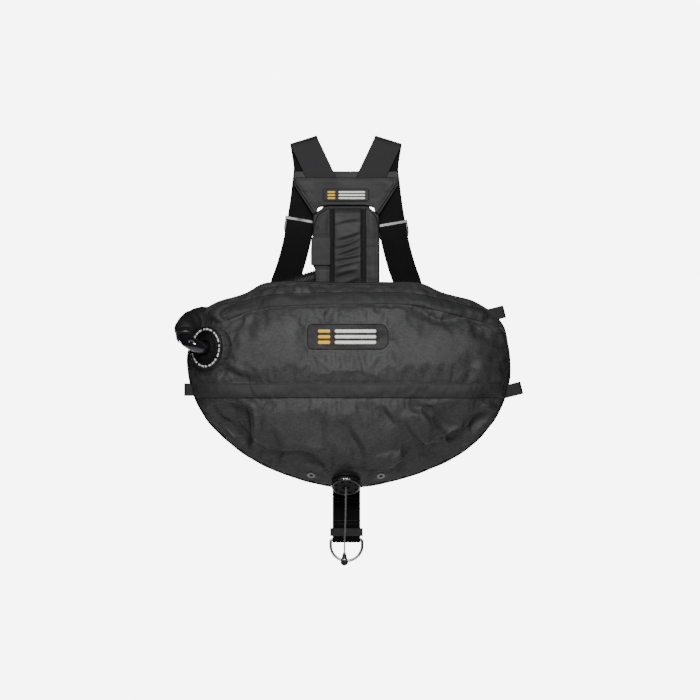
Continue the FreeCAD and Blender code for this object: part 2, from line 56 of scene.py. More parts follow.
# Sizes shared with the CAD
WEB_W, WEB_T, TAPE_T = 50.0, 2.4, 1.6
PORT = Vector((-248, -84, -378))
PORT_DIR = Vector((-0.66, -0.75, 0.05)).normalized()
DUMP = Vector((0, -62, -616))
DUMP_DIR = Vector((0, -0.56, -0.83)).normalized()
HOSE_R = 13.5
HOSE_ROUTE = [
    (-287.6, -84, -358), (-290, -68, -348), (-287, -44, -338), (-272, -20, -333), (-246, -2, -325),
    (-212, 8, -311), (-176, 13, -294), (-136, 16, -276), (-98, 18, -263), (-62, 20, -251), (-30, 22, -243),
    (-5, 23.5, -231), (4, 24, -217), (4, 24, -203),
]
CORD_R = 1.4
CORD_TOP = DUMP + DUMP_DIR * 2.2
CORD_LIP = DUMP + DUMP_DIR * 13.0
CORD_ROUTE = [
    CORD_TOP,
    CORD_LIP,
    CORD_LIP + Vector((-0.3, -1.0, -20)),
    CORD_LIP + Vector((-0.9, -0.4, -56)),
    CORD_LIP + Vector((-2.1, 0.6, -90)),
    CORD_LIP + Vector((-2.9, 0.9, -118)),
]


# ---------------------------------------------------------------- materials

class Shader:
    """A material's node tree, with short calls for the nodes used here."""

    def __init__(self, name, colour, rough, metal=0.0, specular=0.5):
        self.material = bpy.data.materials.new(name)
        self.material.use_nodes = True
        self.tree = self.material.node_tree
        self.bsdf = self.tree.nodes["Principled BSDF"]
        self.bsdf.inputs["Base Color"].default_value = (*colour, 1)
        self.bsdf.inputs["Roughness"].default_value = rough
        self.bsdf.inputs["Metallic"].default_value = metal
        self.bsdf.inputs["Specular IOR Level"].default_value = specular

    def node(self, kind, **settings):
        made = self.tree.nodes.new(kind)
        for key, value in settings.items():
            setattr(made, key, value)
        return made

    def put(self, socket, value):
        if isinstance(value, bpy.types.NodeSocket):
            self.tree.links.new(value, socket)
        else:
            socket.default_value = value

    def math(self, operation, *values):
        made = self.node("ShaderNodeMath", operation=operation)
        for socket, value in zip(made.inputs, values):
            self.put(socket, value)
        return made.outputs[0]

    def add(self, first, second):
        return self.math("ADD", first, second)

    def mul(self, first, second):
        return self.math("MULTIPLY", first, second)

    def place(self):
        """The point's place on the piece, in metres."""
        return self.node("ShaderNodeTexCoord").outputs["Object"]

    def woven(self):
        """Along and across a strip of webbing, in metres."""
        return self.node("ShaderNodeAttribute", attribute_name="weave").outputs["Vector"]

    def split(self, vector):
        made = self.node("ShaderNodeSeparateXYZ")
        self.put(made.inputs[0], vector)
        return made.outputs

    def stretched(self, vector, scale):
        made = self.node("ShaderNodeMapping")
        self.put(made.inputs["Vector"], vector)
        made.inputs["Scale"].default_value = scale
        return made.outputs[0]

    def noise(self, vector, scale, detail=2.0, rough=0.5):
        made = self.node("ShaderNodeTexNoise")
        self.put(made.inputs["Vector"], vector)
        made.inputs["Scale"].default_value = scale
        made.inputs["Detail"].default_value = detail
        made.inputs["Roughness"].default_value = rough
        return made.outputs["Fac"]

    def sine(self, value, pitch, phase=0.0):
        """A wave from 0 to 1 with a pitch in metres."""
        turn = self.math("MULTIPLY_ADD", value, 2 * math.pi / pitch, phase)
        return self.math("MULTIPLY_ADD", self.math("SINE", turn), 0.5, 0.5)

    def remap(self, value, low, high, out_low, out_high):
        made = self.node("ShaderNodeMapRange")
        for socket, item in zip(made.inputs, (value, low, high, out_low, out_high)):
            self.put(socket, item)
        return made.outputs[0]

    def tint(self, factor, dark, light):
        """Base colour between two colours."""
        made = self.node("ShaderNodeMix", data_type="RGBA")
        self.put(made.inputs["Factor"], factor)
        made.inputs["A"].default_value = (*dark, 1)
        made.inputs["B"].default_value = (*light, 1)
        self.put(self.bsdf.inputs["Base Color"], made.outputs["Result"])

    def bump(self, height, distance, strength=1.0):
        made = self.node("ShaderNodeBump")
        made.inputs["Distance"].default_value = distance
        made.inputs["Strength"].default_value = strength
        self.put(made.inputs["Height"], height)
        self.put(self.bsdf.inputs["Normal"], made.outputs[0])


def cloth_material(name, dark, light, pitch=0.0011, slub=1.0):
    """Cordura: plain weave with thick and thin yarns, and a slightly napped face."""
    s = Shader(name, light, 0.68, specular=0.42)
    place = s.place()
    x, y, z = s.split(place)
    weave = s.mul(s.add(s.add(s.sine(x, pitch), s.sine(y, pitch)), s.sine(z, pitch)), 0.333)
    weft = s.noise(s.stretched(place, (0.14, 0.14, 1.0)), 760, 2.0)
    warp = s.noise(s.stretched(place, (1.0, 1.0, 0.14)), 760, 2.0)
    yarns = s.mul(s.add(weft, warp), 0.5)
    wear = s.noise(place, 16, 3.0, 0.55)
    mixed = s.add(s.mul(s.remap(yarns, 0.36, 0.64, 0, 1), 0.62 * slub), s.mul(wear, 0.42))
    s.tint(s.add(mixed, s.mul(weave, 0.16)), dark, light)
    s.put(s.bsdf.inputs["Roughness"], s.remap(wear, 0.3, 0.7, 0.62, 0.74))
    s.bump(s.add(s.mul(weave, 0.4), s.mul(yarns, 0.6)), 0.0003, 0.5)
    return s.material


def webbing_material(name, dark, light, rib=0.0016, chevron=0.006, gloss=0.62, specular=0.35,
                     painted_light_run=None):
    """Ribbed webbing: fine ribs in narrow chevrons. Given a run (metres along the strip), its colour is
    painted light up to that run and fades to near-black painted shade beyond it.
    """
    s = Shader(name, light, gloss, specular=specular)
    along, across, _ = s.split(s.woven())
    zigzag = s.math("PINGPONG", across, chevron / 2)
    ribs = s.sine(s.add(along, zigzag), rib)
    cords = s.sine(across, 0.0021)
    fuzz = s.noise(s.place(), 900, 1.0)
    wear = s.noise(s.place(), 30, 3.0)
    height = s.add(s.mul(ribs, 0.7), s.mul(cords, 0.4))
    mixed = s.add(s.mul(height, 0.55), s.mul(s.add(wear, fuzz), 0.25))
    # Painted light and shade: full colour up to the given run, fading to near black beyond it, standing in for
    # how light falls along the strap.
    if painted_light_run:
        mixed = s.mul(mixed, s.remap(along, painted_light_run[0], painted_light_run[1], 1.0, 0.08))
    s.tint(mixed, dark, light)
    s.put(s.bsdf.inputs["Roughness"], s.remap(wear, 0.3, 0.7, gloss - 0.06, gloss + 0.1))
    s.bump(s.add(height, s.mul(fuzz, 0.3)), 0.0003, 0.55)
    return s.material


def steel_material(name, colour, rough):
    """Brushed stainless: drawn scratches, faint smears and duller patches."""
    s = Shader(name, colour, rough, metal=1.0)
    place = s.place()
    scratch = s.noise(s.stretched(place, (0.05, 1.0, 1.0)), 1500, 3.0, 0.6)
    smear = s.noise(place, 45, 3.0)
    s.tint(s.remap(smear, 0.3, 0.7, 0, 1), tuple(c * 0.78 for c in colour), colour)
    grain = s.remap(scratch, 0.3, 0.7, rough - 0.07, rough + 0.1)
    s.put(s.bsdf.inputs["Roughness"], s.add(grain, s.remap(smear, 0.35, 0.65, -0.03, 0.06)))
    s.bump(scratch, 0.00004, 0.5)
    return s.material


def plastic_material(name, colour, rough, grain=0.4, coat=0.0, specular=0.5):
    """Moulded plastic or rubber: fine grain, faint scuffs."""
    s = Shader(name, colour, rough, specular=specular)
    place = s.place()
    fine = s.noise(place, 1400, 2.0)
    scuff = s.noise(place, 70, 4.0, 0.65)
    s.tint(s.remap(scuff, 0.35, 0.7, 0, 1), tuple(c * 0.8 for c in colour), tuple(c * 1.35 for c in colour))
    s.put(s.bsdf.inputs["Roughness"], s.remap(scuff, 0.35, 0.7, rough * 0.85, rough * 1.25))
    s.bump(s.add(fine, s.mul(scuff, 0.4)), 0.00008, grain)
    s.bsdf.inputs["Coat Weight"].default_value = coat
    s.bsdf.inputs["Coat Roughness"].default_value = 0.06
    return s.material


CORDURA = cloth_material("cordura", (0.004, 0.004, 0.0045), (0.041, 0.041, 0.043))
POCKET_CLOTH = cloth_material("pocket_cordura", (0.002, 0.002, 0.0024), (0.0135, 0.0135, 0.0148))
# A darker copy of the wing's cordura, its colour lowered as painted shade; worn by the spine and the hose
# sleeve.
CORDURA_PAINTED_SHADE = cloth_material("cordura_painted_shade", (0.0012, 0.0012, 0.0014), (0.008, 0.008, 0.0088))
TAPE = webbing_material("sewn_tape", (0.005, 0.005, 0.0055), (0.038, 0.038, 0.040), 0.0012, 0.0034, 0.68)
BINDING = webbing_material("edge_binding", (0.002, 0.002, 0.0025), (0.010, 0.010, 0.011), 0.0010, 0.003, 0.6)
WEBBING = webbing_material("harness_webbing", (0.0005, 0.0005, 0.0006), (0.0028, 0.0028, 0.0031), gloss=0.7,
                           specular=0.08)
# Shoulder webbing with painted light on its sewn rear run and near-black painted shade along its chest run.
PAINTED_LIGHT_STRAP_WEBBING = webbing_material("strap_webbing", (0.0008, 0.0008, 0.0009), (0.040, 0.040, 0.042), gloss=0.66,
                                 specular=0.1, painted_light_run=(0.095, 0.135))
PATCH = cloth_material("patch_cloth", (0.002, 0.002, 0.0025), (0.009, 0.009, 0.010), 0.0008, 0.6)
GOLD = webbing_material("gold_yarn", (0.55, 0.32, 0.02), (0.86, 0.55, 0.05), 0.0009, 0.0022, 0.55)
WHITE = webbing_material("white_yarn", (0.62, 0.62, 0.60), (0.88, 0.88, 0.86), 0.0009, 0.0022, 0.55)
THREAD = plastic_material("sewing_thread", (0.035, 0.035, 0.038), 0.7, 0.6)
CORD = webbing_material("braided_cord", (0.03, 0.03, 0.032), (0.13, 0.13, 0.135), 0.0018, 0.0016, 0.6)
STEEL = steel_material("brushed_steel", (0.55, 0.55, 0.56), 0.28)
DULL = steel_material("dull_nickel", (0.20, 0.20, 0.205), 0.42)
SPRING = steel_material("spring_wire", (0.5, 0.5, 0.52), 0.32)
MATT = plastic_material("matt_plastic", (0.008, 0.008, 0.009), 0.5, 0.5, specular=0.35)
VALVE = plastic_material("valve_plastic", (0.004, 0.004, 0.0045), 0.55, 0.4, specular=0.16)
GLOSS = plastic_material("gloss_plastic", (0.006, 0.006, 0.007), 0.13, 0.08, 0.6)
RUBBER = plastic_material("hose_rubber", (0.011, 0.011, 0.012), 0.46, 0.35)
BUTTON = plastic_material("button_plastic", (0.22, 0.23, 0.24), 0.3, 0.3)
FILM = plastic_material("bladder_film", (0.5, 0.3, 0.05), 0.35, 0.3)
PRINT = plastic_material("light_print", (0.74, 0.74, 0.72), 0.5, 0.3)

CAD_FINISH = {
    STEEL: ["left_shoulder_slider", "right_shoulder_slider", "left_shoulder_ring", "right_shoulder_ring",
            "left_waist_slider", "right_waist_slider", "left_waist_ring", "right_waist_ring", "buckle_frame",
            "buckle_pin", "buckle_lever", "crotch_ring", "supply_nipple", "wing_screws"],
    DULL: ["drain_eyelets"],
    MATT: ["plate_stiffener", "crotch_keeper", "elbow_collar", "inflator_body", "hose_tie"],
    VALVE: ["port_flange", "dump_flange", "dump_cap"],
    GLOSS: ["port_elbow"],
    RUBBER: ["mouthpiece", "dump_poppet"],
    BUTTON: ["exhaust_button", "inflate_button"],
}
for finish, names in CAD_FINISH.items():
    for node_name in names:
        for material_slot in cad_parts[node_name].material_slots:
            material_slot.material = finish


# ---------------------------------------------------------------- curves and fields

def spline(points, per, closed=False):
    """Even Catmull-Rom points through rows of numbers."""
    p = np.array(points, float)
    n = len(p)
    if closed:
        before, here, after, later = np.roll(p, 1, 0), p, np.roll(p, -1, 0), np.roll(p, -2, 0)
    else:
        here, after = p[:-1], p[1:]
        before = np.vstack([2 * p[0] - p[1], p[:-2]])
        later = np.vstack([p[2:], 2 * p[-1] - p[-2]])
    made = []
    for a, b, c, d in zip(before, here, after, later):
        t = np.linspace(0, 1, per, endpoint=False)[:, None]
        square, cube = 2 * a - 5 * b + 4 * c - d, 3 * b - a - 3 * c + d
        made.append(0.5 * (2 * b + (c - a) * t + square * t**2 + cube * t**3))
    if not closed:
        made.append(p[-1:])
    return np.vstack(made)


def even(points, step):
    """Points at even spacing along a line of points."""
    p = np.array([tuple(q) for q in points], float)
    run = np.concatenate([[0], np.cumsum(np.linalg.norm(np.diff(p, axis=0), axis=1))])
    count = max(2, int(round(run[-1] / step)) + 1)
    at = np.linspace(0, run[-1], count)
    return np.stack([np.interp(at, run, p[:, k]) for k in range(p.shape[1])], 1)


def segment_field(px, pz, line):
    """Distance from points to a polyline, its sign (left is positive) and the share along it."""
    line = np.array(line, float)
    best = np.full(px.shape, 1e9)
    sign = np.ones(px.shape)
    share = np.zeros(px.shape)
    lengths = np.linalg.norm(np.diff(line, axis=0), axis=1)
    total = lengths.sum()
    run = 0.0
    for a, b, length in zip(line[:-1], line[1:], lengths):
        d = (b - a) / length
        rx, rz = px - a[0], pz - a[1]
        t = np.clip(rx * d[0] + rz * d[1], 0, length)
        ox, oz = rx - d[0] * t, rz - d[1] * t
        away = np.hypot(ox, oz)
        closer = away < best
        best = np.where(closer, away, best)
        sign = np.where(closer, np.sign(d[0] * rz - d[1] * rx), sign)
        share = np.where(closer, (run + t) / total, share)
        run += length
    return best, sign, share


def waves(px, pz, length, seed, count=7, stretch=(1.0, 1.0)):
    """A smooth random field about 0, with features of about that length."""
    rng = np.random.default_rng(seed)
    out = np.zeros(px.shape)
    for _ in range(count):
        angle, phase, scale = rng.uniform(0, math.tau), rng.uniform(0, math.tau), rng.uniform(0.7, 1.5)
        k = math.tau / (length * scale)
        out += np.sin(k * (px * stretch[0] * math.cos(angle) + pz * stretch[1] * math.sin(angle)) + phase)
    return out / math.sqrt(count)


def fold(px, pz, line, depth, steep, gentle, ridge=0.3):
    """Inward movement of one crease: steep on its left side, gentle on its right, with a ridge beyond."""
    away, sign, share = segment_field(px, pz, line)
    ends = np.sin(np.pi * np.clip(share, 0, 1)) ** 0.8
    width = np.where(sign > 0, steep, gentle)
    valley = np.exp(-(away / width) ** 2)
    crest = np.where(sign > 0, np.exp(-((away - 2.0 * steep) / steep) ** 2), 0)
    return depth * ends * (valley - ridge * crest)


# ---------------------------------------------------------------- meshes

def linked(name, data):
    """A new object in the scene."""
    obj = bpy.data.objects.new(name, data)
    bpy.context.scene.collection.objects.link(obj)
    return obj


def smoothed(data):
    for polygon in data.polygons:
        polygon.use_smooth = True


@contextmanager
def editing(obj):
    """An object's mesh, open for bmesh work."""
    bm = bmesh.new()
    bm.from_mesh(obj.data)
    yield bm
    bm.to_mesh(obj.data)
    bm.free()


def mesh_object(name, verts, faces, finish, body="harness", replaces=(), weave=None):
    """A piece from points in millimetres, riding on its body."""
    data = bpy.data.meshes.new(name)
    data.from_pydata([(v[0] * MM, v[1] * MM, v[2] * MM) for v in verts], [], faces)
    if weave is not None:
        layer = data.attributes.new("weave", "FLOAT_VECTOR", "POINT")
        layer.data.foreach_set("vector", (np.array(weave, float) * MM).ravel())
    data.validate()
    obj = linked(name, data)
    finish_object(obj, finish, body, replaces)
    return obj


def finish_object(obj, finish, body="harness", replaces=()):
    obj.data.materials.clear()
    obj.data.materials.append(finish)
    smoothed(obj.data)
    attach(obj, body)
    if replaces:
        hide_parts(*replaces)


def outward(obj):
    """Turns every face outward."""
    with editing(obj) as bm:
        bmesh.ops.recalc_face_normals(bm, faces=bm.faces)


def loft(name, rings, finish, body="harness", replaces=(), weave=None, closed=False):
    """Skin over rings of points, each ring closed on itself."""
    count = len(rings[0])
    verts = [p for ring in rings for p in ring]
    faces = []
    last = len(rings) if closed else len(rings) - 1
    for i in range(last):
        a, b = i * count, (i + 1) % len(rings) * count
        for j in range(count):
            k = (j + 1) % count
            faces.append((a + j, a + k, b + k, b + j))
    if not closed:
        faces.append(tuple(range(count))[::-1])
        faces.append(tuple(range(len(verts) - count, len(verts))))
    obj = mesh_object(name, verts, faces, finish, body, replaces, weave)
    outward(obj)
    return obj


def heading(points, i):
    """Direction of a line of points at one of them."""
    return (points[min(i + 1, len(points) - 1)] - points[max(i - 1, 0)]).normalized()


def axes_round(axis):
    """Two directions square to an axis and to each other."""
    first = axis.orthogonal().normalized()
    return first, axis.cross(first)


def strip_section(width, thickness, selvedge=0.0):
    """Cross-section of webbing: rounded edges, with a shallow groove inside each selvedge."""
    half = width / 2
    top = []
    for a in (-1.0, -0.985, -0.95, -0.88, -0.80, -0.6, -0.3, 0.0, 0.3, 0.6, 0.80, 0.88, 0.95, 0.985, 1.0):
        beyond = max(0.0, (abs(a) * half - half + thickness / 2) / (thickness / 2))
        lift = math.sqrt(max(0.0, 1 - beyond ** 2))
        groove = selvedge if abs(abs(a) - 0.80) < 0.01 else 0.0
        top.append((a * half, (thickness / 2 - groove) * lift))
    return top + [(a, -n) for a, n in reversed(top[1:-1])]


def strip(name, stations, finish, slot, body="harness", replaces=(), width=WEB_W, thickness=WEB_T,
          step=3.0, selvedge=0.18, per=10):
    """Webbing or tape through stations of (centre, direction across)."""
    rows = [[*c, *a] for c, a in stations]
    fine = even(spline(rows, per), step)
    centres = [Vector(r[:3]) for r in fine]
    section = strip_section(width, thickness, selvedge)
    rings, weave = [], []
    run = 0.0
    for i, centre in enumerate(centres):
        along = heading(centres, i)
        across = Vector(fine[i][3:6])
        across = (across - along * across.dot(along)).normalized()
        normal = along.cross(across)
        if i:
            run += (centre - centres[i - 1]).length
        rings.append([centre + across * a + normal * n for a, n in section])
        weave += [(run, a, 0) for a, n in section]
    return loft(name, rings, finish, body, replaces, weave)


def frames(path):
    """Direction and two turning-free normals at each point of a path."""
    points = [Vector(p) for p in path]
    normal = None
    made = []
    for i, point in enumerate(points):
        along = heading(points, i)
        if normal is None:
            normal = along.orthogonal().normalized()
        normal = (normal - along * normal.dot(along)).normalized()
        made.append((point, along, normal, along.cross(normal)))
    return made


def tube(name, path, radius, segments, finish, body="harness", replaces=()):
    """A round skin along a path, with radius(run, angle)."""
    rings, weave = [], []
    run = 0.0
    previous = None
    for point, _, normal, side in frames(path):
        run += (point - previous).length if previous is not None else 0.0
        previous = point
        ring = []
        for j in range(segments):
            angle = math.tau * j / segments
            r = radius(run, angle)
            ring.append(point + normal * (r * math.cos(angle)) + side * (r * math.sin(angle)))
            weave.append((run, r * angle, 0))
        rings.append(ring)
    return loft(name, rings, finish, body, replaces, weave)


def revolve(name, centre, axis, profile, finish, body="harness", replaces=(), segments=72, ripple=None):
    """A closed profile of (radius, height) turned about an axis."""
    axis = axis.normalized()
    first, second = axes_round(axis)
    rings = []
    for j in range(segments):
        angle = math.tau * j / segments
        out = first * math.cos(angle) + second * math.sin(angle)
        extra = ripple(angle) if ripple else 0.0
        rings.append([centre + out * (r + (extra if i % len(profile) else 0)) + axis * h
                      for i, (r, h) in enumerate(profile)])
    return loft(name, rings, finish, body, replaces, closed=True)


def nurbs_curve(name, points, resolution):
    """A smooth curve that the points control."""
    curve = bpy.data.curves.new(name, "CURVE")
    curve.dimensions = "3D"
    curve.resolution_u = resolution
    line = curve.splines.new("NURBS")
    line.points.add(len(points) - 1)
    for target, point in zip(line.points, points):
        target.co = (*point, 1)
    line.order_u = 3
    line.use_endpoint_u = True
    return curve


def nurbs_line(points, step):
    """Even points of the smooth line that the route's points control."""
    curve = nurbs_curve("route", points, 24)
    carrier = bpy.data.objects.new("route", curve)
    mesh = bpy.data.meshes.new_from_object(carrier)
    made = [tuple(v.co) for v in mesh.vertices]
    bpy.data.objects.remove(carrier)
    bpy.data.curves.remove(curve)
    bpy.data.meshes.remove(mesh)
    return even(made, step)


def coordinates(obj):
    """Points of a mesh in millimetres."""
    co = np.zeros(len(obj.data.vertices) * 3)
    obj.data.vertices.foreach_get("co", co)
    return co.reshape(-1, 3) / MM


def set_coordinates(obj, co):
    obj.data.vertices.foreach_set("co", (co * MM).ravel())
    obj.data.update()


def vertex_normals(obj):
    no = np.zeros(len(obj.data.vertices) * 3)
    obj.data.vertices.foreach_get("normal", no)
    return no.reshape(-1, 3)


def baked(obj):
    """Applies every modifier of an object."""
    bpy.context.view_layer.update()
    graph = bpy.context.evaluated_depsgraph_get()
    data = bpy.data.meshes.new_from_object(obj.evaluated_get(graph))
    old = obj.data
    obj.modifiers.clear()
    obj.data = data
    bpy.data.meshes.remove(old)
    smoothed(data)


def remeshed(obj, voxel):
    modifier = obj.modifiers.new("remesh", "REMESH")
    modifier.mode = "VOXEL"
    modifier.voxel_size = voxel * MM
    baked(obj)


def subdivided(obj, levels=1):
    modifier = obj.modifiers.new("subdivide", "SUBSURF")
    modifier.levels = modifier.render_levels = levels
    baked(obj)


def inflated(obj, pins, growth, pressure, cap, frames_run=20):
    """Cloth simulation with air pressure inside, its movement capped."""
    rest = coordinates(obj)
    group = obj.vertex_groups.new(name="pins")
    for index, weight in enumerate(pins):
        if weight > 0:
            group.add([index], float(weight), "REPLACE")
    modifier = obj.modifiers.new("cloth", "CLOTH")
    cloth = modifier.settings
    cloth.quality = 5
    cloth.mass = 0.3
    cloth.tension_stiffness = cloth.compression_stiffness = 15
    cloth.shear_stiffness = 5
    cloth.bending_stiffness = 0.35
    cloth.use_pressure = True
    cloth.uniform_pressure_force = pressure
    cloth.shrink_min = -growth
    cloth.vertex_group_mass = "pins"
    cloth.effector_weights.gravity = 0
    modifier.collision_settings.use_collision = False
    modifier.point_cache.frame_start = 1
    modifier.point_cache.frame_end = frames_run
    for number in range(1, frames_run + 1):
        bpy.context.scene.frame_set(number)
    graph = bpy.context.evaluated_depsgraph_get()
    shape = obj.evaluated_get(graph).to_mesh()
    moved = np.zeros(len(shape.vertices) * 3)
    shape.vertices.foreach_get("co", moved)
    moved = moved.reshape(-1, 3) / MM
    obj.evaluated_get(graph).to_mesh_clear()
    obj.modifiers.remove(modifier)
    obj.vertex_groups.clear()
    bpy.context.scene.frame_set(1)
    step = moved - rest
    size = np.linalg.norm(step, axis=1, keepdims=True)
    set_coordinates(obj, rest + step * np.minimum(1, cap / np.maximum(size, 1e-9)))


def surface(obj):
    """A tree to drop points on a piece's skin."""
    co = coordinates(obj)
    return BVHTree.FromPolygons([Vector(c) for c in co], [tuple(p.vertices) for p in obj.data.polygons])


def drop(tree, x, z, side=-1):
    """The skin's point and normal in front of (x, z), seen from the outer side or the diver's side."""
    point, normal, _, _ = tree.ray_cast(Vector((x, 400 * side, z)), Vector((0, -side, 0)))
    if point is None:
        return None
    return point, normal if normal.y * side > 0 else -normal


# ---------------------------------------------------------------- panels and stitches

def rounded(outline, radius):
    """An outline with its corners rounded."""
    made = []
    n = len(outline)
    for i in range(n):
        a, b, c = (Vector(outline[k % n]) for k in (i - 1, i, i + 1))
        back, ahead = (a - b), (c - b)
        reach = min(radius, 0.45 * back.length, 0.45 * ahead.length)
        start, end = b + back.normalized() * reach, b + ahead.normalized() * reach
        for t in (0, 0.25, 0.5, 0.75, 1):
            made.append(tuple(start * (1 - t) ** 2 + b * (2 * t * (1 - t)) + end * t**2))
    return np.array(made)


def crossings(outline, value, axis):
    """Lowest and highest place where an outline crosses a line, along the other axis."""
    other = 1 - axis
    found = []
    for a, b in zip(outline, np.roll(outline, -1, 0)):
        low, high = min(a[axis], b[axis]), max(a[axis], b[axis])
        if low <= value <= high:
            t = 0.5 if high - low < 1e-9 else (value - a[axis]) / (b[axis] - a[axis])
            found += [a[other] + (b[other] - a[other]) * t] if high - low > 1e-9 else [a[other], b[other]]
    return min(found), max(found)


def grid_faces(rows, columns):
    """Faces of a grid of points, and of an underside whose points follow on from the grid's."""
    total = rows * columns
    faces = []
    for i in range(rows - 1):
        for j in range(columns - 1):
            a = i * columns + j
            quad = (a, a + 1, a + columns + 1, a + columns)
            faces += [quad, tuple(total + k for k in reversed(quad))]
    return faces


def panel(name, outline, back, front, finish, body="harness", replaces=(), corner=3.0, edge=1.6,
          axis=1, step=2.4, relief=None, back_relief=None):
    """A sewn panel: outline in X and Z, its edges rounded over, with relief(x, z, d) added outward."""
    outline = rounded(outline, corner)
    low, high = outline[:, axis].min(), outline[:, axis].max()
    rows = max(6, int((high - low) / step))
    spread = [outline[:, 1 - axis].min(), outline[:, 1 - axis].max()]
    columns = max(6, int((spread[1] - spread[0]) / step))

    def clustered(n):
        t = np.linspace(0, 1, n)
        return 0.45 * t + 0.55 * (0.5 - 0.5 * np.cos(np.pi * t))

    px, pz = np.zeros((rows, columns)), np.zeros((rows, columns))
    margin = (high - low) * 1e-5
    for i, value in enumerate(low + margin + (high - low - 2 * margin) * clustered(rows)):
        first, last = crossings(outline, value, axis)
        run = first + (last - first) * clustered(columns)
        if axis == 1:
            px[i], pz[i] = run, value
        else:
            px[i], pz[i] = value, run
    away, _, _ = segment_field(px, pz, np.vstack([outline, outline[:1]]))
    border = np.zeros(px.shape, bool)
    border[0], border[-1], border[:, 0], border[:, -1] = True, True, True, True
    away = np.where(border, 0.0, away)
    middle = (back + front) / 2

    def turned(radius):
        return np.sqrt(1 - (1 - np.clip(away / radius, 0, 1)) ** 2)

    fy = middle + (front - middle) * turned(edge)
    by = middle + (back - middle) * turned(min(edge, 2.0))
    fade = np.clip(away / 1.5, 0, 1)
    if relief is not None:
        fy = fy - relief(px, pz, away) * fade
    if back_relief is not None:
        by = by + back_relief(px, pz, away) * fade
    verts = [(x, y, z) for x, y, z in zip(px.ravel(), fy.ravel(), pz.ravel())]
    verts += [(x, y, z) for x, y, z in zip(px.ravel(), by.ravel(), pz.ravel())]
    faces = grid_faces(rows, columns)
    obj = mesh_object(name, verts, faces, finish, body, replaces)
    with editing(obj) as bm:
        bmesh.ops.remove_doubles(bm, verts=bm.verts, dist=1e-6)
        bmesh.ops.dissolve_degenerate(bm, edges=bm.edges, dist=1e-7)
        bmesh.ops.recalc_face_normals(bm, faces=bm.faces)
    smoothed(obj.data)
    return obj


class Stitches:
    """Rows of short thread loops, gathered into one piece."""

    def __init__(self):
        self.verts, self.faces = [], []

    def loop(self, start, end, normal, radius):
        along = end - start
        side = along.normalized().cross(normal).normalized()
        rings = [(0.0, 0.35, -0.25), (0.22, 1.0, 0.25), (0.78, 1.0, 0.25), (1.0, 0.35, -0.25)]
        base = len(self.verts)
        for share, scale, lift in rings:
            centre = start + along * share + normal * (lift * radius)
            for j in range(6):
                angle = math.tau * j / 6
                out = side * math.cos(angle) + normal * math.sin(angle)
                self.verts.append(centre + out * radius * scale)
        for i in range(3):
            for j in range(6):
                a, b = base + i * 6, base + (i + 1) * 6
                k = (j + 1) % 6
                self.faces.append((a + j, a + k, b + k, b + j))
        self.faces.append(tuple(base + j for j in reversed(range(6))))
        self.faces.append(tuple(base + 18 + j for j in range(6)))

    def row(self, places, pitch=4.2, share=0.72, radius=0.32):
        """places are (point, normal) along the row."""
        places = [p for p in places if p is not None]
        if len(places) < 2:
            return
        rows = even([[*p, *n] for p, n in places], pitch)
        for a, b in zip(rows[:-1], rows[1:]):
            start, end = Vector(a[:3]), Vector(b[:3])
            if (end - start).length > 2.5 * pitch:
                continue
            normal = Vector(a[3:]).normalized()
            self.loop(start, start + (end - start) * share, normal, radius)

    def on(self, tree, line, side=-1, **settings):
        """A row along a line of (x, z) dropped on a skin."""
        self.row([drop(tree, x, z, side) for x, z in even(line, 2.0)], **settings)

    def piece(self, name, body="harness"):
        return mesh_object(name, self.verts, self.faces, THREAD, body)


SEAMS = Stitches()


def inset_line(outline, inset, corner=3.0):
    """A closed line drawn inside an outline."""
    p = rounded(outline, corner)
    area = sum(a[0] * b[1] - b[0] * a[1] for a, b in zip(p, np.roll(p, -1, 0)))
    turn = 1 if area > 0 else -1
    along = np.roll(p, -1, 0) - np.roll(p, 1, 0)
    along /= np.maximum(np.linalg.norm(along, axis=1, keepdims=True), 1e-9)
    made = p + np.stack([-along[:, 1], along[:, 0]], 1) * inset * turn
    return np.vstack([made, made[:1]])


def groove(away, at, depth=0.5, width=1.0):
    """A sewn line's groove at a distance from the edge."""
    return -depth * np.exp(-((away - at) / width) ** 2)


# ---------------------------------------------------------------- wing

WING_POINTS = [
    (0, -263), (84, -261.5), (131, -263), (178, -282), (232, -297), (277, -331), (290, -373), (294, -415),
    (287, -460), (262, -512), (215, -560), (151, -594), (75, -618), (0, -628),
    (-75, -615), (-151, -586), (-205, -550), (-250, -505), (-275, -455), (-284, -407),
    (-279, -372), (-263, -338), (-245, -304), (-182, -282), (-131, -261),
]
WING_PROFILE = [
    (-12, 70), (-16, 45), (-22, 22), (-34, 0), (-45, 4), (-60, 14), (-75, 30), (-88, 52), (-97, 80),
    (-102, 112),
]
WING_CENTRE = np.array([4.0, -440.0])
SEAM_Y = -34.0
UPPER_LINE = [(-215, -318), (-175, -302), (-135, -294), (-60, -290), (0, -289), (97, -289), (142, -295),
              (196, -308), (248, -321)]
LOWER_LINE = [(-271, -454.5), (0, -454.5), (282, -454.5)]
UPPER_HALF, LOWER_HALF = 11.0, 13.0
PATCH_OUTLINE = [(-66, -335), (68, -335), (76, -347), (76, -372), (66, -381), (-66, -381), (-70, -372),
                 (-70, -345)]

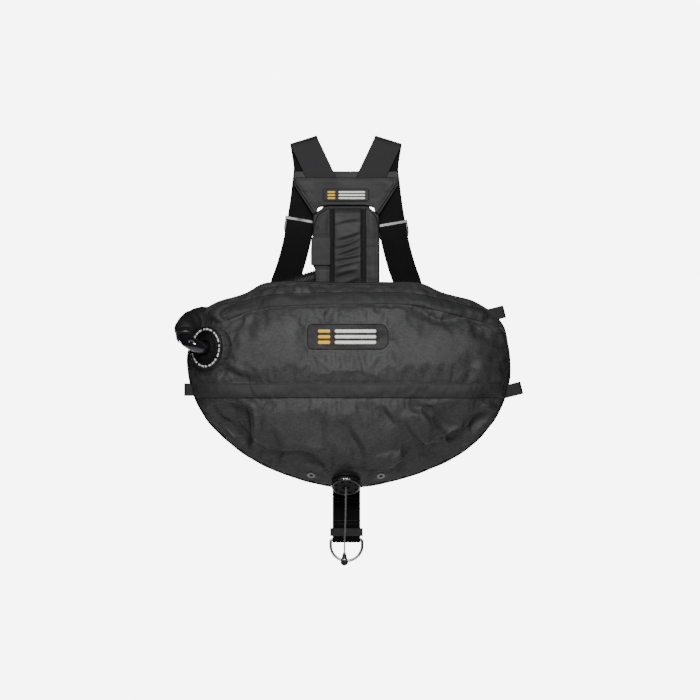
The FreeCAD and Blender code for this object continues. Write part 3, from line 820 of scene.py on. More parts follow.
# Creases seen on the wing: line, depth, width of the steep side, width of the gentle side.
FOLDS = [
    ([(-184, -478), (-178, -520), (-182, -575)], 11.0, 4, 26),
    ([(-214, -478), (-186, -493)], 3.0, 7, 9),
    ([(-140, -522), (-126, -548), (-112, -574)], 4.5, 5, 13),
    ([(-112, -566), (-70, -574), (-28, -590)], 4.5, 6, 12),
    ([(-52, -486), (-46, -520), (-50, -556)], 2.6, 6, 14),
    ([(-276, -430), (-224, -417), (-190, -431), (-150, -439)], 5.0, 5, 9),
    ([(-262, -322), (-222, -338), (-178, -322)], 4.0, 6, 12),
    ([(-170, -318), (-176, -345), (-170, -372)], 3.0, 7, 15),
    ([(-48, -332), (-30, -317), (-18, -303)], 2.6, 5, 9),
    ([(110, -305), (134, -310), (170, -324), (216, -322)], 6.5, 4, 8),
    ([(228, -334), (252, -351), (284, -362)], 6.0, 5, 10),
    ([(206, -316), (240, -327), (275, -330)], 4.0, 4, 7),
    ([(276, -476), (250, -474), (226, -479)], 5.5, 4, 12),
    ([(197, -529), (164, -507), (142, -488), (112, -485), (94, -504)], 6.5, 5, 11),
    ([(56, -482), (70, -497), (87, -518)], 4.5, 4, 8),
    ([(96, -504), (119, -542), (147, -574)], 6.0, 5, 15),
    ([(214, -548), (181, -541), (150, -549)], 5.0, 4, 12),
    ([(-3, -505), (5, -531), (19, -553), (35, -588)], 5.5, 5, 10),
    ([(148, -579), (110, -563), (44, -567)], 4.5, 5, 13),
    ([(236, -395), (222, -412), (230, -436)], 2.6, 7, 11),
    ([(262, -500), (236, -512), (216, -534)], 4.0, 5, 10),
    ([(-112, -271), (-84, -281), (-52, -274)], 3.0, 4, 7),
    ([(-236, -500), (-222, -516), (-216, -536)], 3.5, 5, 9),
]


FOLD_DEPTH = 1.7
FOLD_WIDTH = 1.5
RIM_BAND, RIM_SCALLOP, RIM_STEP = 38.0, 14.0, 6.0   # where the front cloth turns under, and how far
CELL_INSET = 17.5

# Where a fitting holds the cloth still: centre and radius.
HELD = [(PORT, 44), (DUMP, 31), ((-62, -57.5, -604.5), 15), ((62.4, -58.5, -605.6), 15)]


def wing_rings():
    """Rings of the closed pillow, from the diver's side to the outer side."""
    outline = spline(WING_POINTS, 14, closed=True)
    half = np.abs(outline - WING_CENTRE).max(0)
    profile = spline(WING_PROFILE, 4)
    rings = []
    for y, inset in profile:
        scale = 1 - max(inset, 0) / half
        rings.append((y, WING_CENTRE + (outline - WING_CENTRE) * scale))
    back = [(rings[0][0] + 0.4, WING_CENTRE + (rings[0][1] - WING_CENTRE) * k) for k in (0.03, 0.35, 0.7)]
    front = [(rings[-1][0] - rise, WING_CENTRE + (rings[-1][1] - WING_CENTRE) * k)
             for k, rise in ((0.88, 2.2), (0.72, 4.6), (0.52, 6.8), (0.3, 8.4), (0.03, 9.0))]
    return [[(x, y, z) for x, z in ring] for y, ring in back + rings + front]


def hole(obj, centre, axis, radius, low, high):
    """Removes the faces inside a cylinder, where a valve passes through the cloth."""
    with editing(obj) as bm:
        gone = []
        for vert in bm.verts:
            offset = vert.co / MM - centre
            height = offset.dot(axis)
            if low < height < high and (offset - axis * height).length < radius:
                gone.append(vert)
        bmesh.ops.delete(bm, geom=gone, context="VERTS")


def relaxed(obj, times):
    """Smooths a mesh, so that an inset skin has no wrinkles that cross each other."""
    every_axis = {"use_axis_x": True, "use_axis_y": True, "use_axis_z": True}
    with editing(obj) as bm:
        for _ in range(times):
            bmesh.ops.smooth_vert(bm, verts=bm.verts, factor=0.5, **every_axis)


def build_wing():
    """The wing's two covers as one swollen, creased skin, and the air cell inside it."""
    wing = loft("wing_cover", wing_rings(), CORDURA,
                replaces=("wing_outer_shell", "wing_inner_shell"))
    remeshed(wing, 4.6)
    co = coordinates(wing)
    pins = np.where(co[:, 1] > -40, 1.0, 0.0)
    for line, half in ((UPPER_LINE, UPPER_HALF), (LOWER_LINE, LOWER_HALF)):
        away, _, _ = segment_field(co[:, 0], co[:, 2], line)
        pins = np.maximum(pins, np.where(np.abs(away - half + 1) < 3.2, 0.75, 0.0))
    for centre, radius in HELD:
        pins = np.maximum(pins, np.where(np.linalg.norm(co - np.array(centre), axis=1) < radius, 1.0, 0.0))
    away, _, _ = segment_field(co[:, 0], co[:, 2], PATCH_OUTLINE + PATCH_OUTLINE[:1])
    pins = np.maximum(pins, np.where((away < 4) & (co[:, 1] < -60), 0.6, 0.0))
    inflated(wing, pins, growth=0.045, pressure=3.0, cap=6.5)
    subdivided(wing)

    co, normal = coordinates(wing), vertex_normals(wing)
    px, pz = co[:, 0], co[:, 2]
    front = np.clip((-44 - co[:, 1]) / 14, 0, 1)
    inward = np.zeros(len(co))
    for line, depth, steep, gentle in FOLDS:
        inward += fold(px, pz, spline(line, 6), FOLD_DEPTH * depth, FOLD_WIDTH * steep, FOLD_WIDTH * gentle)
    inward += 0.9 * waves(px, pz, 95, 3, stretch=(1.0, 0.55)) + 0.2 * waves(px, pz, 30, 5)
    for line, half in ((UPPER_LINE, UPPER_HALF), (LOWER_LINE, LOWER_HALF)):
        away, _, _ = segment_field(px, pz, line)
        beyond = np.clip(away - half, 0, 200)
        inward += 1.5 * np.exp(-(np.abs(away - half) / 4.0) ** 2)
        near = 0.8 * np.exp(-beyond / 9) * np.clip(beyond / 3, 0, 1)
        inward += near * waves(px, pz, 15, 11, stretch=(1.0, 0.2))
    outline = spline(WING_POINTS + WING_POINTS[:1], 6)
    rim_away, _, rim_share = segment_field(px, pz, outline)
    hang = RIM_BAND + RIM_SCALLOP * np.sin(rim_share * 58) * np.sin(rim_share * 23 + 1.1)
    low_side = np.clip((-470 - pz) / 60, 0, 1)
    inward += RIM_STEP * low_side * np.clip((hang - rim_away) / 9, 0, 1) ** 1.5
    calm = np.ones(len(co))
    for centre, radius in HELD:
        away = np.linalg.norm(co - np.array(centre), axis=1)
        calm *= np.clip((away - radius + 4) / 12, 0, 1)
    inside_patch = (np.abs(px - 3) < 76) & (np.abs(pz + 358) < 26)
    calm = np.where(inside_patch, np.minimum(calm, 0.35), calm)
    rim = np.exp(-((co[:, 1] - SEAM_Y) / 16) ** 2)
    angle = np.arctan2(pz - WING_CENTRE[1], px - WING_CENTRE[0])
    gather = 1.0 * rim * (np.sin(angle * 46 + 1.3 * np.sin(angle * 7)) * np.sin(angle * 17 + 0.6))
    smooth = co - normal * CELL_INSET
    co = co - normal * (np.clip(inward, -3.0, 10.5) * front * calm + gather)[:, None]
    set_coordinates(wing, co)

    cell = linked("air_cell", wing.data.copy())
    set_coordinates(cell, smooth)
    relaxed(cell, 20)
    for target in (wing, cell):
        hole(target, PORT, PORT_DIR, 15.5, -32, 20)
        hole(target, DUMP, DUMP_DIR, 15.5, -24, 20)
    finish_object(wing, CORDURA)
    finish_object(cell, FILM, replaces=("air_bladder",))
    return wing


WING = build_wing()
WING_SKIN = surface(WING)


def laid_strip(name, line, half, finish, replaces=(), lift=0.7, thickness=1.0, step=1.3, rows=9):
    """Tape lying on the wing's skin along a line, with its two edges pressed down."""
    centre = even(spline(line, 12), step)
    along = np.gradient(centre, axis=0)
    along /= np.linalg.norm(along, axis=1, keepdims=True)
    rings, weave, edges = [], [], ([], [])
    for (cx, cz), (ax, az), run in zip(centre, along, np.arange(len(centre)) * step):
        top, low, marks = [], [], []
        for a in np.linspace(-half, half, rows):
            hit = drop(WING_SKIN, cx - az * a, cz + ax * a)
            if hit is None:
                break
            point, normal = hit
            rise = lift + thickness * 0.5 * math.sqrt(max(0, 1 - (a / half) ** 8))
            pucker = 0.22 * math.sin(run * 1.25 + 2 * math.sin(run / 19)) * math.sin(run / 47 + 0.4)
            rise += pucker * (1 - abs(a) / half)
            top.append(point + normal * rise)
            low.append(point + normal * (lift - thickness - 0.4))
            marks.append((run, a, 0))
            if abs(abs(a) - half * 0.75) < 0.01 and abs(normal.y) > 0.35:
                edges[0 if a < 0 else 1].append((point + normal * (lift + thickness * 0.5), normal))
        if len(top) == rows:
            rings.append(top + low[::-1])
            weave += marks + marks[::-1]
    loft(name, rings, finish, "harness", replaces, weave)
    for row in edges:
        SEAMS.row(row)


laid_strip("upper_tape", UPPER_LINE, UPPER_HALF, TAPE, ("upper_band",))
laid_strip("lower_tape", LOWER_LINE, LOWER_HALF, TAPE, ("lower_band",))


def laid_patch(name, outline, tree, finish, replaces=(), lift=1.1, step=3.0, corner=4.0):
    """A thin patch of cloth lying on a skin, inside an outline of (x, z)."""
    outline = rounded(outline, corner)
    low, high = outline[:, 1].min(), outline[:, 1].max()
    rows = max(3, int((high - low) / step) + 1)
    columns = max(3, int(np.ptp(outline[:, 0]) / step) + 1)
    top, under = [], []
    for value in np.linspace(low + 0.01, high - 0.01, rows):
        first, last = crossings(outline, value, 1)
        for px in np.linspace(first, last, columns):
            point, normal = drop(tree, px, value)
            top.append(point + normal * lift)
            under.append(point - normal * 0.8)
    total = rows * columns
    faces = grid_faces(rows, columns)
    ring = list(range(columns)) + [i * columns + columns - 1 for i in range(1, rows)]
    ring += [(rows - 1) * columns + j for j in range(columns - 2, -1, -1)]
    ring += [i * columns for i in range(rows - 2, 0, -1)]
    for a, b in zip(ring, ring[1:] + ring[:1]):
        faces.append((b, a, total + a, total + b))
    verts = top + under
    weave = [(v[0], v[2], 0) for v in verts]
    obj = mesh_object(name, verts, faces, finish, "harness", replaces, weave)
    outward(obj)
    return obj


def mark(name, gold, white, lows, height, tree):
    """A plain mark of stitched bars: short gold ones beside long white ones."""
    boxes = [(*gold, low, GOLD) for low in lows] + [(*white, low, WHITE) for low in lows]
    for index, (x0, x1, z0, finish) in enumerate(boxes):
        outline = [(x0, z0), (x1, z0), (x1, z0 + height), (x0, z0 + height)]
        laid_patch(f"{name}_{index + 1}", outline, tree, finish, lift=0.7, step=1.8, corner=1.6)


WING_PATCH = laid_patch("wing_label", PATCH_OUTLINE, WING_SKIN, PATCH, ("wing_patch",))
LABEL_SKIN = surface(WING_PATCH)
SEAMS.on(LABEL_SKIN, inset_line(PATCH_OUTLINE, 2.6, 4.0), pitch=3.4, radius=0.3)
mark("wing_mark", (-50, -28), (-20, 54), (-351, -361, -371), 6, LABEL_SKIN)


def edge_binding():
    """Folded tape sewn round the wing's seam."""
    outline = even(spline(WING_POINTS + WING_POINTS[:1], 14), 3.0)[:-1]
    along = np.roll(outline, -1, 0) - np.roll(outline, 1, 0)
    along /= np.linalg.norm(along, axis=1, keepdims=True)
    rings, weave = [], []
    section = [(-4.0, 1.9), (0.5, 2.0), (2.2, 1.5), (2.8, 0.0), (2.2, -1.5), (0.5, -2.0), (-4.0, -1.9)]
    for i, ((cx, cz), (ax, az)) in enumerate(zip(outline, along)):
        out = Vector((-az, 0, ax))
        if out.dot(Vector((cx - WING_CENTRE[0], 0, cz - WING_CENTRE[1]))) < 0:
            out = -out
        wobble = 0.35 * math.sin(i * 0.37) * math.sin(i * 0.083)
        rings.append([Vector((cx, SEAM_Y + h, cz)) + out * (o + wobble) for o, h in section])
        weave += [(i * 3.0, h * 2, 0) for o, h in section]
    loft("wing_binding", rings, BINDING, weave=weave, closed=True)


edge_binding()


def end_loop(name, root, direction, length, **settings):
    """A short loop of tape standing out of the wing's edge."""
    direction = Vector(direction).normalized()
    root = Vector(root)
    across = direction.cross(Y)
    half, turn = 3.4, length - 3.4
    stations = [(root - direction * 9 + Y * -1.4, across), (root + direction * 2 + Y * -2.6, across),
                (root + direction * turn * 0.6 + Y * -half, across)]
    for i in range(0, 7):
        angle = math.radians(-90 + 30 * i)
        bend = root + direction * (turn + half * math.cos(angle)) + Y * half * math.sin(angle)
        stations.append((bend, across))
    stations += [(root + direction * turn * 0.6 + Y * half, across), (root + direction * 2 + Y * 2.6, across),
                 (root - direction * 9 + Y * 1.4, across)]
    strip(name, stations, BINDING, "tape", width=23.0, thickness=TAPE_T, step=1.6, selvedge=0.1, per=6,
          **settings)


end_loop("left_loop", (-277, -34, -453), (-1, 0, 0), 14, replaces=("band_loops",))
end_loop("right_loop", (290, -34, -456), (0.97, 0, 0.24), 27)
end_loop("upper_loop", (262, -34, -318), (0.97, 0, 0.24), 24)


# ---------------------------------------------------------------- harness webbing

def shoulder_stations(side):
    """The CAD strap's stations: sewn end, fold over the shoulder, chest run."""
    rear, over = Vector((0.905 * side, 0, -0.426)), Vector((0.957 * side, 0, -0.289))
    ahead = Vector((0.99 * side, 0, -0.14))
    top = Vector((77 * side, 0.4, -9.8))
    made = [(Vector((32.7 * side, -7.6, -96)), rear), (Vector((48 * side, -7.6, -63.5)), rear),
            (Vector((62 * side, -7.6, -34)), rear), (Vector((70 * side, -7.6, -17)), rear)]
    for i, across in enumerate([rear, over, over, over, ahead]):
        angle = math.radians(180 - 45 * i)
        shift = (-3.5, -1.7, 0, -0.6, -1.2)[i] * side
        made.append((top + Vector((shift, 8 * math.cos(angle), 8 * math.sin(angle))), across))
    chest = [(70, 3.4, -50, 0.05), (72.5, 6.4, -80, -0.08), (78.5, 12.4, -126, -0.19), (88, 20.0, -180, -0.23),
             (100, 29.4, -226, -0.28), (112.5, 36.4, -262, -0.30), (122, 37.4, -300, -0.16),
             (127, 28.4, -340, -0.06), (128, 12.4, -378, 0.0), (127, 2.4, -404, 0.0), (126.5, 0.6, -418, 0.0),
             (126, 0.6, -441, 0.0)]
    for px, py, pz, tilt in chest:
        made.append((Vector((px * side, py, pz)), Vector((side, 0, tilt)).normalized()))
    return made


for label, side in (("left", -1), ("right", 1)):
    strip(f"{label}_shoulder_webbing", shoulder_stations(side), PAINTED_LIGHT_STRAP_WEBBING, "webbing",
          replaces=(f"{label}_shoulder_strap",), per=12, step=2.4)

BELT_Z, BELT_REAR_Y, BELT_FRONT_Y, BELT_HALF = -472.0, 0.6, 46.0, 205.0
for label, side, end in (("left", -1, 6.0), ("right", 1, 13.0)):
    radius = (BELT_FRONT_Y - BELT_REAR_Y) / 2
    turn = Vector((BELT_HALF * side, BELT_REAR_Y, BELT_Z))
    belt = [(Vector((px * side, BELT_REAR_Y, BELT_Z)), Z) for px in (8, 80, 150)] + [(turn, Z)]
    for i in range(1, 9):
        angle = math.radians(-90 + 22.5 * i)
        bend = Vector((radius * math.cos(angle) * side, radius + radius * math.sin(angle), 0))
        belt.append((turn + bend, Z))
    belt += [(Vector((px, BELT_FRONT_Y, BELT_Z)), Z) for px in (150 * side, 80 * side, end)]
    strip(f"{label}_belt_webbing", belt, WEBBING, "webbing", replaces=(f"{label}_waist_belt",), per=8)

CROTCH_X = 0.8
crotch = [(Vector((CROTCH_X, -8.8, pz)), X) for pz in (-440, -520, -600, -680, -724)]
for i in range(1, 8):
    angle = math.radians(180 + 22.5 * i)
    crotch.append((Vector((CROTCH_X, -4 + 4.8 * math.cos(angle), -724 + 4.8 * math.sin(angle))), X))
crotch += [(Vector((CROTCH_X, 0.8, pz)), X) for pz in (-724, -700, -670, -645)]
strip("crotch_webbing", crotch, WEBBING, "webbing", replaces=("crotch_strap",), per=8, step=2.4)

for pz in (-650, -656, -690, -696):
    row_places = np.linspace(CROTCH_X - 21, CROTCH_X + 21, 12)
    SEAMS.row([(Vector((px, -10.1, pz)), -Y) for px in row_places], pitch=3.2)


# ---------------------------------------------------------------- shoulder plate

def plate_outline(inset, top):
    right = [(94.5 - inset, top), (94.5 - inset, -83 + inset / 2), (59 - inset, -138 + inset),
             (52, -134 + inset), (51, -124 + inset / 2), (30, -121 + inset / 2)]
    return right + [(-px, pz) for px, pz in reversed(right)]


INNER_OUTLINE = plate_outline(0, -58.0)
OUTER_OUTLINE = plate_outline(3, -69.5)


def outer_relief(px, pz, away):
    ribs = groove(away, 4.0, 0.8) + groove(away, 15.0, 0.7) * (np.abs(px) > 48)
    return ribs + 0.5 * waves(px, pz, 30, 21) + 0.9 * np.exp(-((np.abs(px) - 78) / 14) ** 2) * (pz > -95)


def inner_relief(px, pz, away):
    return groove(away, 4.5, 0.4) + 0.3 * waves(px, pz, 26, 23)


panel("plate_inner_cloth", INNER_OUTLINE, -3.0, -6.0, POCKET_CLOTH, replaces=("plate_inner_panel",),
      axis=0, relief=inner_relief, back_relief=inner_relief)
OUTER_PANEL = panel("plate_outer_cloth", OUTER_OUTLINE, -9.2, -12.4, POCKET_CLOTH,
                    replaces=("plate_outer_panel",), axis=0, relief=outer_relief, step=2.0)
OUTER_SKIN = surface(OUTER_PANEL)
SEAMS.on(OUTER_SKIN, inset_line(OUTER_OUTLINE, 4.0), pitch=3.8)
for side in (-1, 1):
    SEAMS.on(OUTER_SKIN, [(76 * side, -73), (76 * side, -87), (49 * side, -129)], pitch=3.8)

PLATE_PATCH_OUTLINE = [(-42, -90), (42, -90), (42, -113), (-42, -113)]
PLATE_LABEL = laid_patch("plate_label", PLATE_PATCH_OUTLINE, OUTER_SKIN, PATCH, ("plate_patch",),
                         lift=1.0, step=2.4)
PLATE_SKIN = surface(PLATE_LABEL)
SEAMS.on(PLATE_SKIN, inset_line(PLATE_PATCH_OUTLINE, 1.8, 4.0), pitch=3.0, radius=0.26)
mark("plate_mark", (-34, -19), (-14, 35), (-98, -103.5, -109), 3.5, PLATE_SKIN)


# ---------------------------------------------------------------- spine and pockets

SPINE_HALF = [(38, -100), (38, -118), (46, -128), (60, -134), (61, -160), (55, -186), (55, -400)]
SPINE_OUTLINE = SPINE_HALF + [(-px, pz) for px, pz in reversed(SPINE_HALF)]
SPINE = panel("spine_cloth", SPINE_OUTLINE, -0.2, -2.6, CORDURA_PAINTED_SHADE, replaces=("spine_backing",),
              edge=1.2, step=4.0)
SPINE_SKIN = surface(SPINE)
SEAMS.on(SPINE_SKIN, inset_line(SPINE_OUTLINE, 5.0), side=1)

LEFT_OUTLINE = [(-28, -124), (-38, -128), (-51, -137), (-58, -153), (-60.5, -176), (-60.5, -229),
                (-56.5, -234), (-56.5, -300), (-28, -300)]
RIGHT_OUTLINE = [(34, -124), (45, -129), (55, -141), (60, -160), (61, -190), (61, -300), (34, -300)]
FLAP_OUTLINE = [(-27.5, -177), (-62, -177), (-63.5, -200), (-63.5, -229), (-27.5, -229)]


def pocket_relief(seed, seams=()):
    """Sewn edge, soft swelling and small creases of a filled pocket."""
    def relief(px, pz, away):
        out = groove(away, 4.2, 0.8, 1.3) + 1.1 * (1 - np.exp(-np.clip(away - 5, 0, 60) / 6)) - 0.9
        out += 0.5 * waves(px, pz, 34, seed) + 0.22 * waves(px, pz, 13, seed + 1, stretch=(0.5, 1.0))
        for level in seams:
            out += -1.2 * np.exp(-((pz - level) / 1.6) ** 2)
        return out
    return relief


LEFT_POCKET = panel("left_pocket_cloth", LEFT_OUTLINE, -3.0, -14.6, POCKET_CLOTH,
                    replaces=("left_pocket",), edge=3.6, step=2.0, relief=pocket_relief(31, (-175.0, -236.0)))
RIGHT_POCKET = panel("right_pocket_cloth", RIGHT_OUTLINE, -3.0, -16.4, POCKET_CLOTH,
                     replaces=("right_pocket",), edge=3.6, step=2.0, relief=pocket_relief(37, (-196.0,)))


def flap_relief(px, pz, away):
    return groove(away, 3.2, 0.35) + 0.3 * waves(px, pz, 22, 41) + 0.5 * np.exp(-((pz + 205) / 18) ** 2)


FLAP = panel("flap_cloth", FLAP_OUTLINE, -15.4, -18.0, POCKET_CLOTH, body="pocket_flap",
             replaces=("pocket_flap",), edge=1.3, step=1.8, relief=flap_relief)
FLAP_SEAMS = Stitches()
FLAP_SEAMS.on(surface(FLAP), inset_line(FLAP_OUTLINE, 3.2), pitch=3.6)
FLAP_SEAMS.piece("flap_stitches", "pocket_flap")

MIDDLE_OUTLINE = [(-22.5, -122.5), (28.5, -122.5), (28.5, -296), (-22.5, -296)]
CREASE_DEPTH = 1.6
MIDDLE_FOLDS = [
    ([(-24, -160), (2, -152), (28, -150)], 0.9, 3, 8),
    ([(-20, -186), (6, -180), (29, -171)], 1.5, 3, 8),
    ([(-22, -200), (4, -195), (29, -183)], 1.9, 3, 8),
    ([(-18, -214), (8, -205), (29, -196)], 2.2, 3, 7),
    ([(-22, -222), (4, -218), (29, -213)], 2.4, 2.5, 7),
    ([(-16, -236), (6, -229), (29, -224)], 1.5, 3, 8),
    ([(-20, -252), (2, -244), (24, -240)], 1.3, 3, 9),
    ([(-14, -270), (8, -262), (26, -256)], 1.2, 3, 9),
]


def middle_relief(px, pz, away):
    """Falls away at its top and tail, with slanting creases."""
    top = np.clip((pz + 136) / 13.5, 0, 1) ** 1.4 * 9.0
    tail = np.clip((-228 - pz) / 68, 0, 1) * 14.0
    out = -top - tail + groove(away, 3.6, 0.5, 1.2)
    for line, depth, steep, gentle in MIDDLE_FOLDS:
        out -= fold(px, pz, spline(line, 5), CREASE_DEPTH * depth, steep, gentle, 0.6)
    return out + 0.35 * waves(px, pz, 24, 47)


MIDDLE_POCKET = panel("middle_pocket_cloth", MIDDLE_OUTLINE, -3.0, -21.6, POCKET_CLOTH,
                      replaces=("middle_pocket",), edge=3.0, step=1.9, relief=middle_relief)
for tree, outline in ((surface(LEFT_POCKET), LEFT_OUTLINE), (surface(RIGHT_POCKET), RIGHT_OUTLINE)):
    SEAMS.on(tree, inset_line(outline, 4.2), pitch=3.8)
MIDDLE_SKIN = surface(MIDDLE_POCKET)
for px in (-18.4, 24.4):
    SEAMS.on(MIDDLE_SKIN, [(px, -138), (px, -290)], pitch=3.8)

for index, cx in enumerate((-25.2, 31.3)):
    channel = [(Vector((cx, -6.0, pz)), X) for pz in (-126, -170, -230, -300)]
    strip(f"pocket_channel_{index + 1}", channel, BINDING, "webbing", width=3.6, thickness=5.6, step=4,
          replaces=("pocket_channels",) if index == 0 else ())

LUMBAR_OUTLINE = [(60, -402.5), (150, -408), (156, -440), (150, -500), (60, -506), (-60, -506), (-150, -500),
                  (-156, -440), (-150, -408), (-60, -402.5)]


def lumbar_relief(px, pz, away):
    return groove(away, 5.0, 0.6, 1.2) + 0.4 * waves(px, pz, 40, 51)


LUMBAR = panel("lumbar_cloth", LUMBAR_OUTLINE, -1.0, -5.0, CORDURA, replaces=("lumbar_plate",),
               corner=9.0, edge=2.0, axis=0, step=3.4, relief=lumbar_relief,
               back_relief=lambda px, pz, away: groove(away, 5.0, 0.5, 1.2))
SEAMS.on(surface(LUMBAR), inset_line(LUMBAR_OUTLINE, 5.0, 9.0), side=1)


# ---------------------------------------------------------------- hose, valves, inflator

HOSE_LINE = nurbs_line(HOSE_ROUTE, 0.8)


PLAIN_CUFF, RIB_PITCH, RIB_DEPTH = 14, 5.2, 1.15


def corrugation(run, angle):
    """The hose's plain cuff, then its ribs."""
    if run <= PLAIN_CUFF:
        return HOSE_R - 0.3
    return HOSE_R - 0.1 - RIB_DEPTH * (1 - math.cos(math.tau * run / RIB_PITCH))


tube("ribbed_hose", HOSE_LINE, corrugation, 28, RUBBER, replaces=("corrugated_hose",))

SLEEVE_SPAN = even(HOSE_LINE[16:int(len(HOSE_LINE) * 0.38)], 1.6)
SLEEVE_LENGTH = 1.6 * (len(SLEEVE_SPAN) - 1)


def sleeve_radius(run, angle):
    """A gathered cloth sleeve: drawn in at both ends, with slanting wrinkles."""
    share = run / SLEEVE_LENGTH
    ends = min(1.0, share / 0.10, (1 - share) / 0.08) ** 0.5 if 0 < share < 1 else 0.0
    wrinkle = 0.8 * math.sin(run / 5.1 + 1.4 * math.sin(angle)) + 0.5 * math.sin(run / 2.9 + angle * 2)
    swell = 8.0 * math.exp(-((share - 0.50) / 0.24) ** 2)
    return 14.6 + 3.8 * ends + swell + wrinkle * min(1.0, ends * 1.2) * 0.6


# The sleeve wears the darker cordura copy, painted shade in place of the shade it sits in.
tube("hose_sleeve_cloth", SLEEVE_SPAN, sleeve_radius, 40, CORDURA_PAINTED_SHADE, replaces=("hose_sleeve",))


def seat_ripple(angle):
    return 0.5 * math.sin(angle * 19) + 0.3 * math.sin(angle * 31 + 1)


SEAT_PROFILE = [(30, -1.2), (35.6, -0.9), (36.8, -2.2), (37.6, -6.0), (38.6, -12.0), (39.4, -22.0),
                (30, -22.0)]
SEAT = revolve("port_seat_cloth", PORT, PORT_DIR, SEAT_PROFILE, CORDURA, replaces=("port_seat",),
               segments=160, ripple=seat_ripple)


def dashes(name, centre, axis, radius, height, spans, width=3.4, thickness=0.6):
    """Plain raised dashes round a flange face, at angles in degrees."""
    first = (X - axis * X.dot(axis)).normalized()
    second = axis.cross(first)
    verts, faces = [], []
    for start, end in spans:
        steps = max(2, int((end - start) / 2.5))
        base = len(verts)
        for i in range(steps + 1):
            angle = math.radians(start + (end - start) * i / steps)
            out = first * math.cos(angle) + second * math.sin(angle)
            for r, h in ((radius - width / 2, 0), (radius - width / 2 + 0.3, thickness),
                         (radius + width / 2 - 0.3, thickness), (radius + width / 2, 0)):
                verts.append(centre + out * r + axis * (height + h))
        for i in range(steps):
            for j in range(3):
                a = base + i * 4 + j
                faces.append((a, a + 1, a + 5, a + 4))
        faces.append((base, base + 1, base + 2, base + 3))
        end_base = base + steps * 4
        faces.append((end_base + 3, end_base + 2, end_base + 1, end_base))
    return mesh_object(name, verts, faces, PRINT, "harness")


DASH_SPANS = [(15 * k, 15 * k + (12 if k % 3 else 8)) for k in range(24)]
dashes("flange_dashes", PORT, PORT_DIR, 33.4, 4.95, DASH_SPANS)
revolve("flange_rim", PORT, PORT_DIR,
        [(36.2, 4.9), (36.4, 6.3), (37.4, 6.8), (38.3, 6.2), (38.6, 3.0),
         (38.3, 0.3), (37.5, 0.2), (37.5, 4.9)],
        MATT, segments=180)
revolve("flange_step", PORT, PORT_DIR,
        [(12.6, 4.9), (12.8, 8.6), (14.4, 9.4), (18.2, 8.8), (19.6, 7.2),
         (26.5, 6.4), (28.6, 5.2), (28.8, 4.9)],
        VALVE, segments=120)

revolve("dump_cap_rim", DUMP, DUMP_DIR,
        [(22.6, 13.9), (23.0, 15.0), (24.4, 15.2), (25.6, 14.2),
         (25.9, 9.0), (25.7, 4.6), (25.1, 4.5), (25.1, 13.5)],
        GLOSS, segments=144, ripple=lambda angle: 0.25 * math.sin(angle * 36))


def coil_spring(name, centre, axis, radius, wire, ends, turns):
    """A wire coil between two heights on its axis."""
    first, second = axes_round(axis)
    low, high = ends[0] + wire, ends[1] - wire
    steps = 24 * turns
    path = []
    for i in range(steps + 1):
        angle = math.tau * i / 24
        height = low + (high - low) * i / steps
        out = first * math.cos(angle) + second * math.sin(angle)
        path.append(centre + out * radius + axis * height)
    coil = tube(f"{name}_coil", path, lambda run, angle: wire, 10, SPRING, replaces=(name,))
    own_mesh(coil)


coil_spring("exhaust_spring", Vector((4, 24, -110)), Z, 5.2, 0.35, (-8.8, -4.7), 3)
coil_spring("inflate_spring", Vector((4, 24, -182)), X, 4.8, 0.3, (8.2, 11.8), 3)
coil_spring("dump_spring", DUMP, DUMP_DIR, 7.75, 0.45, (2.1, 11.2), 5)

KEEPER = [(-17.4, 1.0), (-17.4, 40.4), (17.4, 40.4), (17.4, 1.0)]
keeper_line = rounded([(4 + kx, ky) for kx, ky in KEEPER], 5.0)
keeper_rings, keeper_weave = [], []
keeper_path = even(np.vstack([keeper_line, keeper_line[:1]]), 1.5)[:-1]
for i, (kx, ky) in enumerate(keeper_path):
    ahead, behind = keeper_path[(i + 1) % len(keeper_path)], keeper_path[i - 1]
    run = Vector((ahead[0] - behind[0], ahead[1] - behind[1], 0)).normalized()
    out = run.cross(Z)
    ring = strip_section(13.0, 1.8, 0.1)
    keeper_rings.append([Vector((kx, ky, -153.5)) + Z * a + out * n for a, n in ring])
    keeper_weave += [(i * 1.5, a, 0) for a, n in ring]
loft("keeper_loop", keeper_rings, WEBBING, replaces=("inflator_keeper",), weave=keeper_weave,
     closed=True)


def pull_cord():
    """The dump valve's cord, hanging with its drop-shaped toggle."""
    curve = nurbs_curve("dump_cord", [point * MM for point in CORD_ROUTE], 16)
    curve.bevel_depth = CORD_R * MM
    curve.bevel_resolution = 4
    curve.use_fill_caps = True
    cord = linked("dump_cord", curve)
    curve.materials.append(CORD)
    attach(cord, "pull_cord")
    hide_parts("pull_cord")
    end = CORD_ROUTE[-1]
    profile = [(0.4, 0.6), (2.3, 0.2), (2.9, -2.0), (4.2, -7.0), (6.0, -12.5), (7.0, -16.5), (6.5, -19.6),
               (4.6, -22.2), (2.0, -23.4), (0.4, -23.5)]
    toggle = revolve("cord_toggle", end, Z, profile, MATT, "pull_cord", ("pull_toggle",), 48)
    collar_profile = [(5.9, -10.6), (6.9, -11.4), (7.1, -12.8), (6.4, -13.8), (5.4, -12.6)]
    collar = revolve("toggle_ring", end, Z, collar_profile, STEEL, "pull_cord", (), 48)


pull_cord()
SEAMS.piece("stitching")


# ---------------------------------------------------------------- stage, camera and light

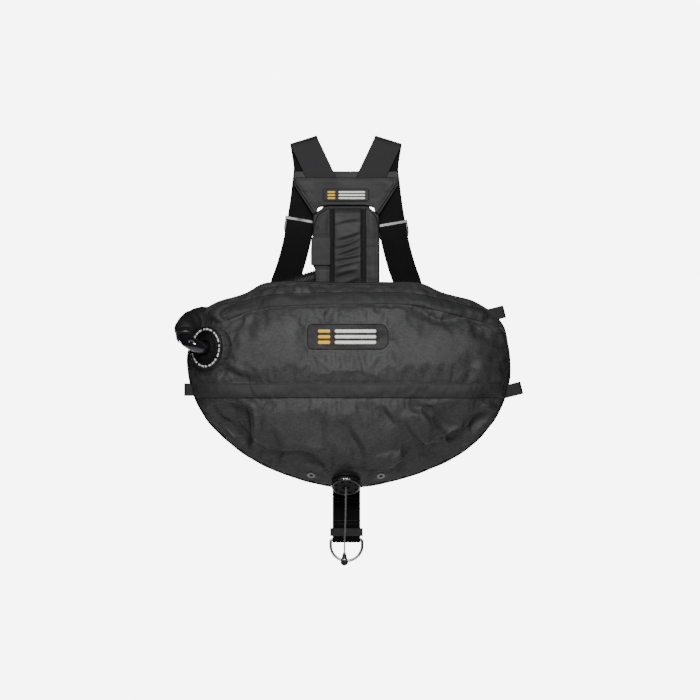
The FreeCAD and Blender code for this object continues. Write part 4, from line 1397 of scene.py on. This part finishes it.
FLOOR_RADIUS, FLOOR_Z, FLOOR_SIDES = 1.8, -1.35, 96
floor_mesh = bpy.data.meshes.new("floor")
turns = [math.tau * k / FLOOR_SIDES for k in range(FLOOR_SIDES)]
rim = [(FLOOR_RADIUS * math.cos(t), FLOOR_RADIUS * math.sin(t), FLOOR_Z) for t in turns]
floor_mesh.from_pydata(rim, [], [tuple(range(FLOOR_SIDES))])
floor_mesh.materials.append(Shader("pale_floor", (0.9, 0.9, 0.9), 0.8, specular=0.1).material)
floor = linked("floor", floor_mesh)


def soft_light(name, place, target, size, power):
    lamp = bpy.data.lights.new(name, "AREA")
    lamp.shape = "RECTANGLE"
    lamp.size, lamp.size_y = size
    lamp.energy = power
    obj = linked(name, lamp)
    obj.location = place
    obj.visible_camera = False
    obj.rotation_euler = (Vector(target) - Vector(place)).to_track_quat("-Z", "Y").to_euler()


CENTRE = (0.0, 0.0, -0.4)
soft_light("key", (0.0, -1.15, 0.1), (0.0, 0.0, -0.45), (0.35, 0.35), 17)
soft_light("fill", (0.3, -2.6, 0.5), CENTRE, (0.6, 0.6), 9)
soft_light("side", (-1.5, -1.9, 1.0), CENTRE, (0.3, 0.8), 6)
soft_light("top", (-0.2, -1.2, 1.6), (0.0, 0.0, -0.2), (1.0, 0.5), 4)
soft_light("rear", (0.8, 2.6, -0.1), CENTRE, (1.2, 1.2), 100)
soft_light("rear_fill", (-0.8, 2.6, -0.3), CENTRE, (1.2, 1.2), 55)

AMBIENT, BACKDROP = 0.03, 7.0
world = bpy.data.worlds.new("pale_studio")
bpy.context.scene.world = world
world.use_nodes = True
tree = world.node_tree
background, bright = tree.nodes["Background"], tree.nodes.new("ShaderNodeBackground")
for shade, strength in ((background, AMBIENT), (bright, BACKDROP)):
    shade.inputs["Color"].default_value = (1, 1, 1, 1)
    shade.inputs["Strength"].default_value = strength
path = tree.nodes.new("ShaderNodeLightPath")
mix = tree.nodes.new("ShaderNodeMixShader")
tree.links.new(path.outputs["Is Camera Ray"], mix.inputs["Fac"])
tree.links.new(background.outputs[0], mix.inputs[1])
tree.links.new(bright.outputs[0], mix.inputs[2])
tree.links.new(mix.outputs[0], tree.nodes["World Output"].inputs["Surface"])

camera_data = bpy.data.cameras.new("camera")
camera_data.lens = 200
camera_data.sensor_width = 36
camera = linked("camera", camera_data)
camera.location = (0.0072, -7.04, -0.3816)
camera.rotation_euler = (math.radians(90), 0, 0)
bpy.context.scene.camera = camera
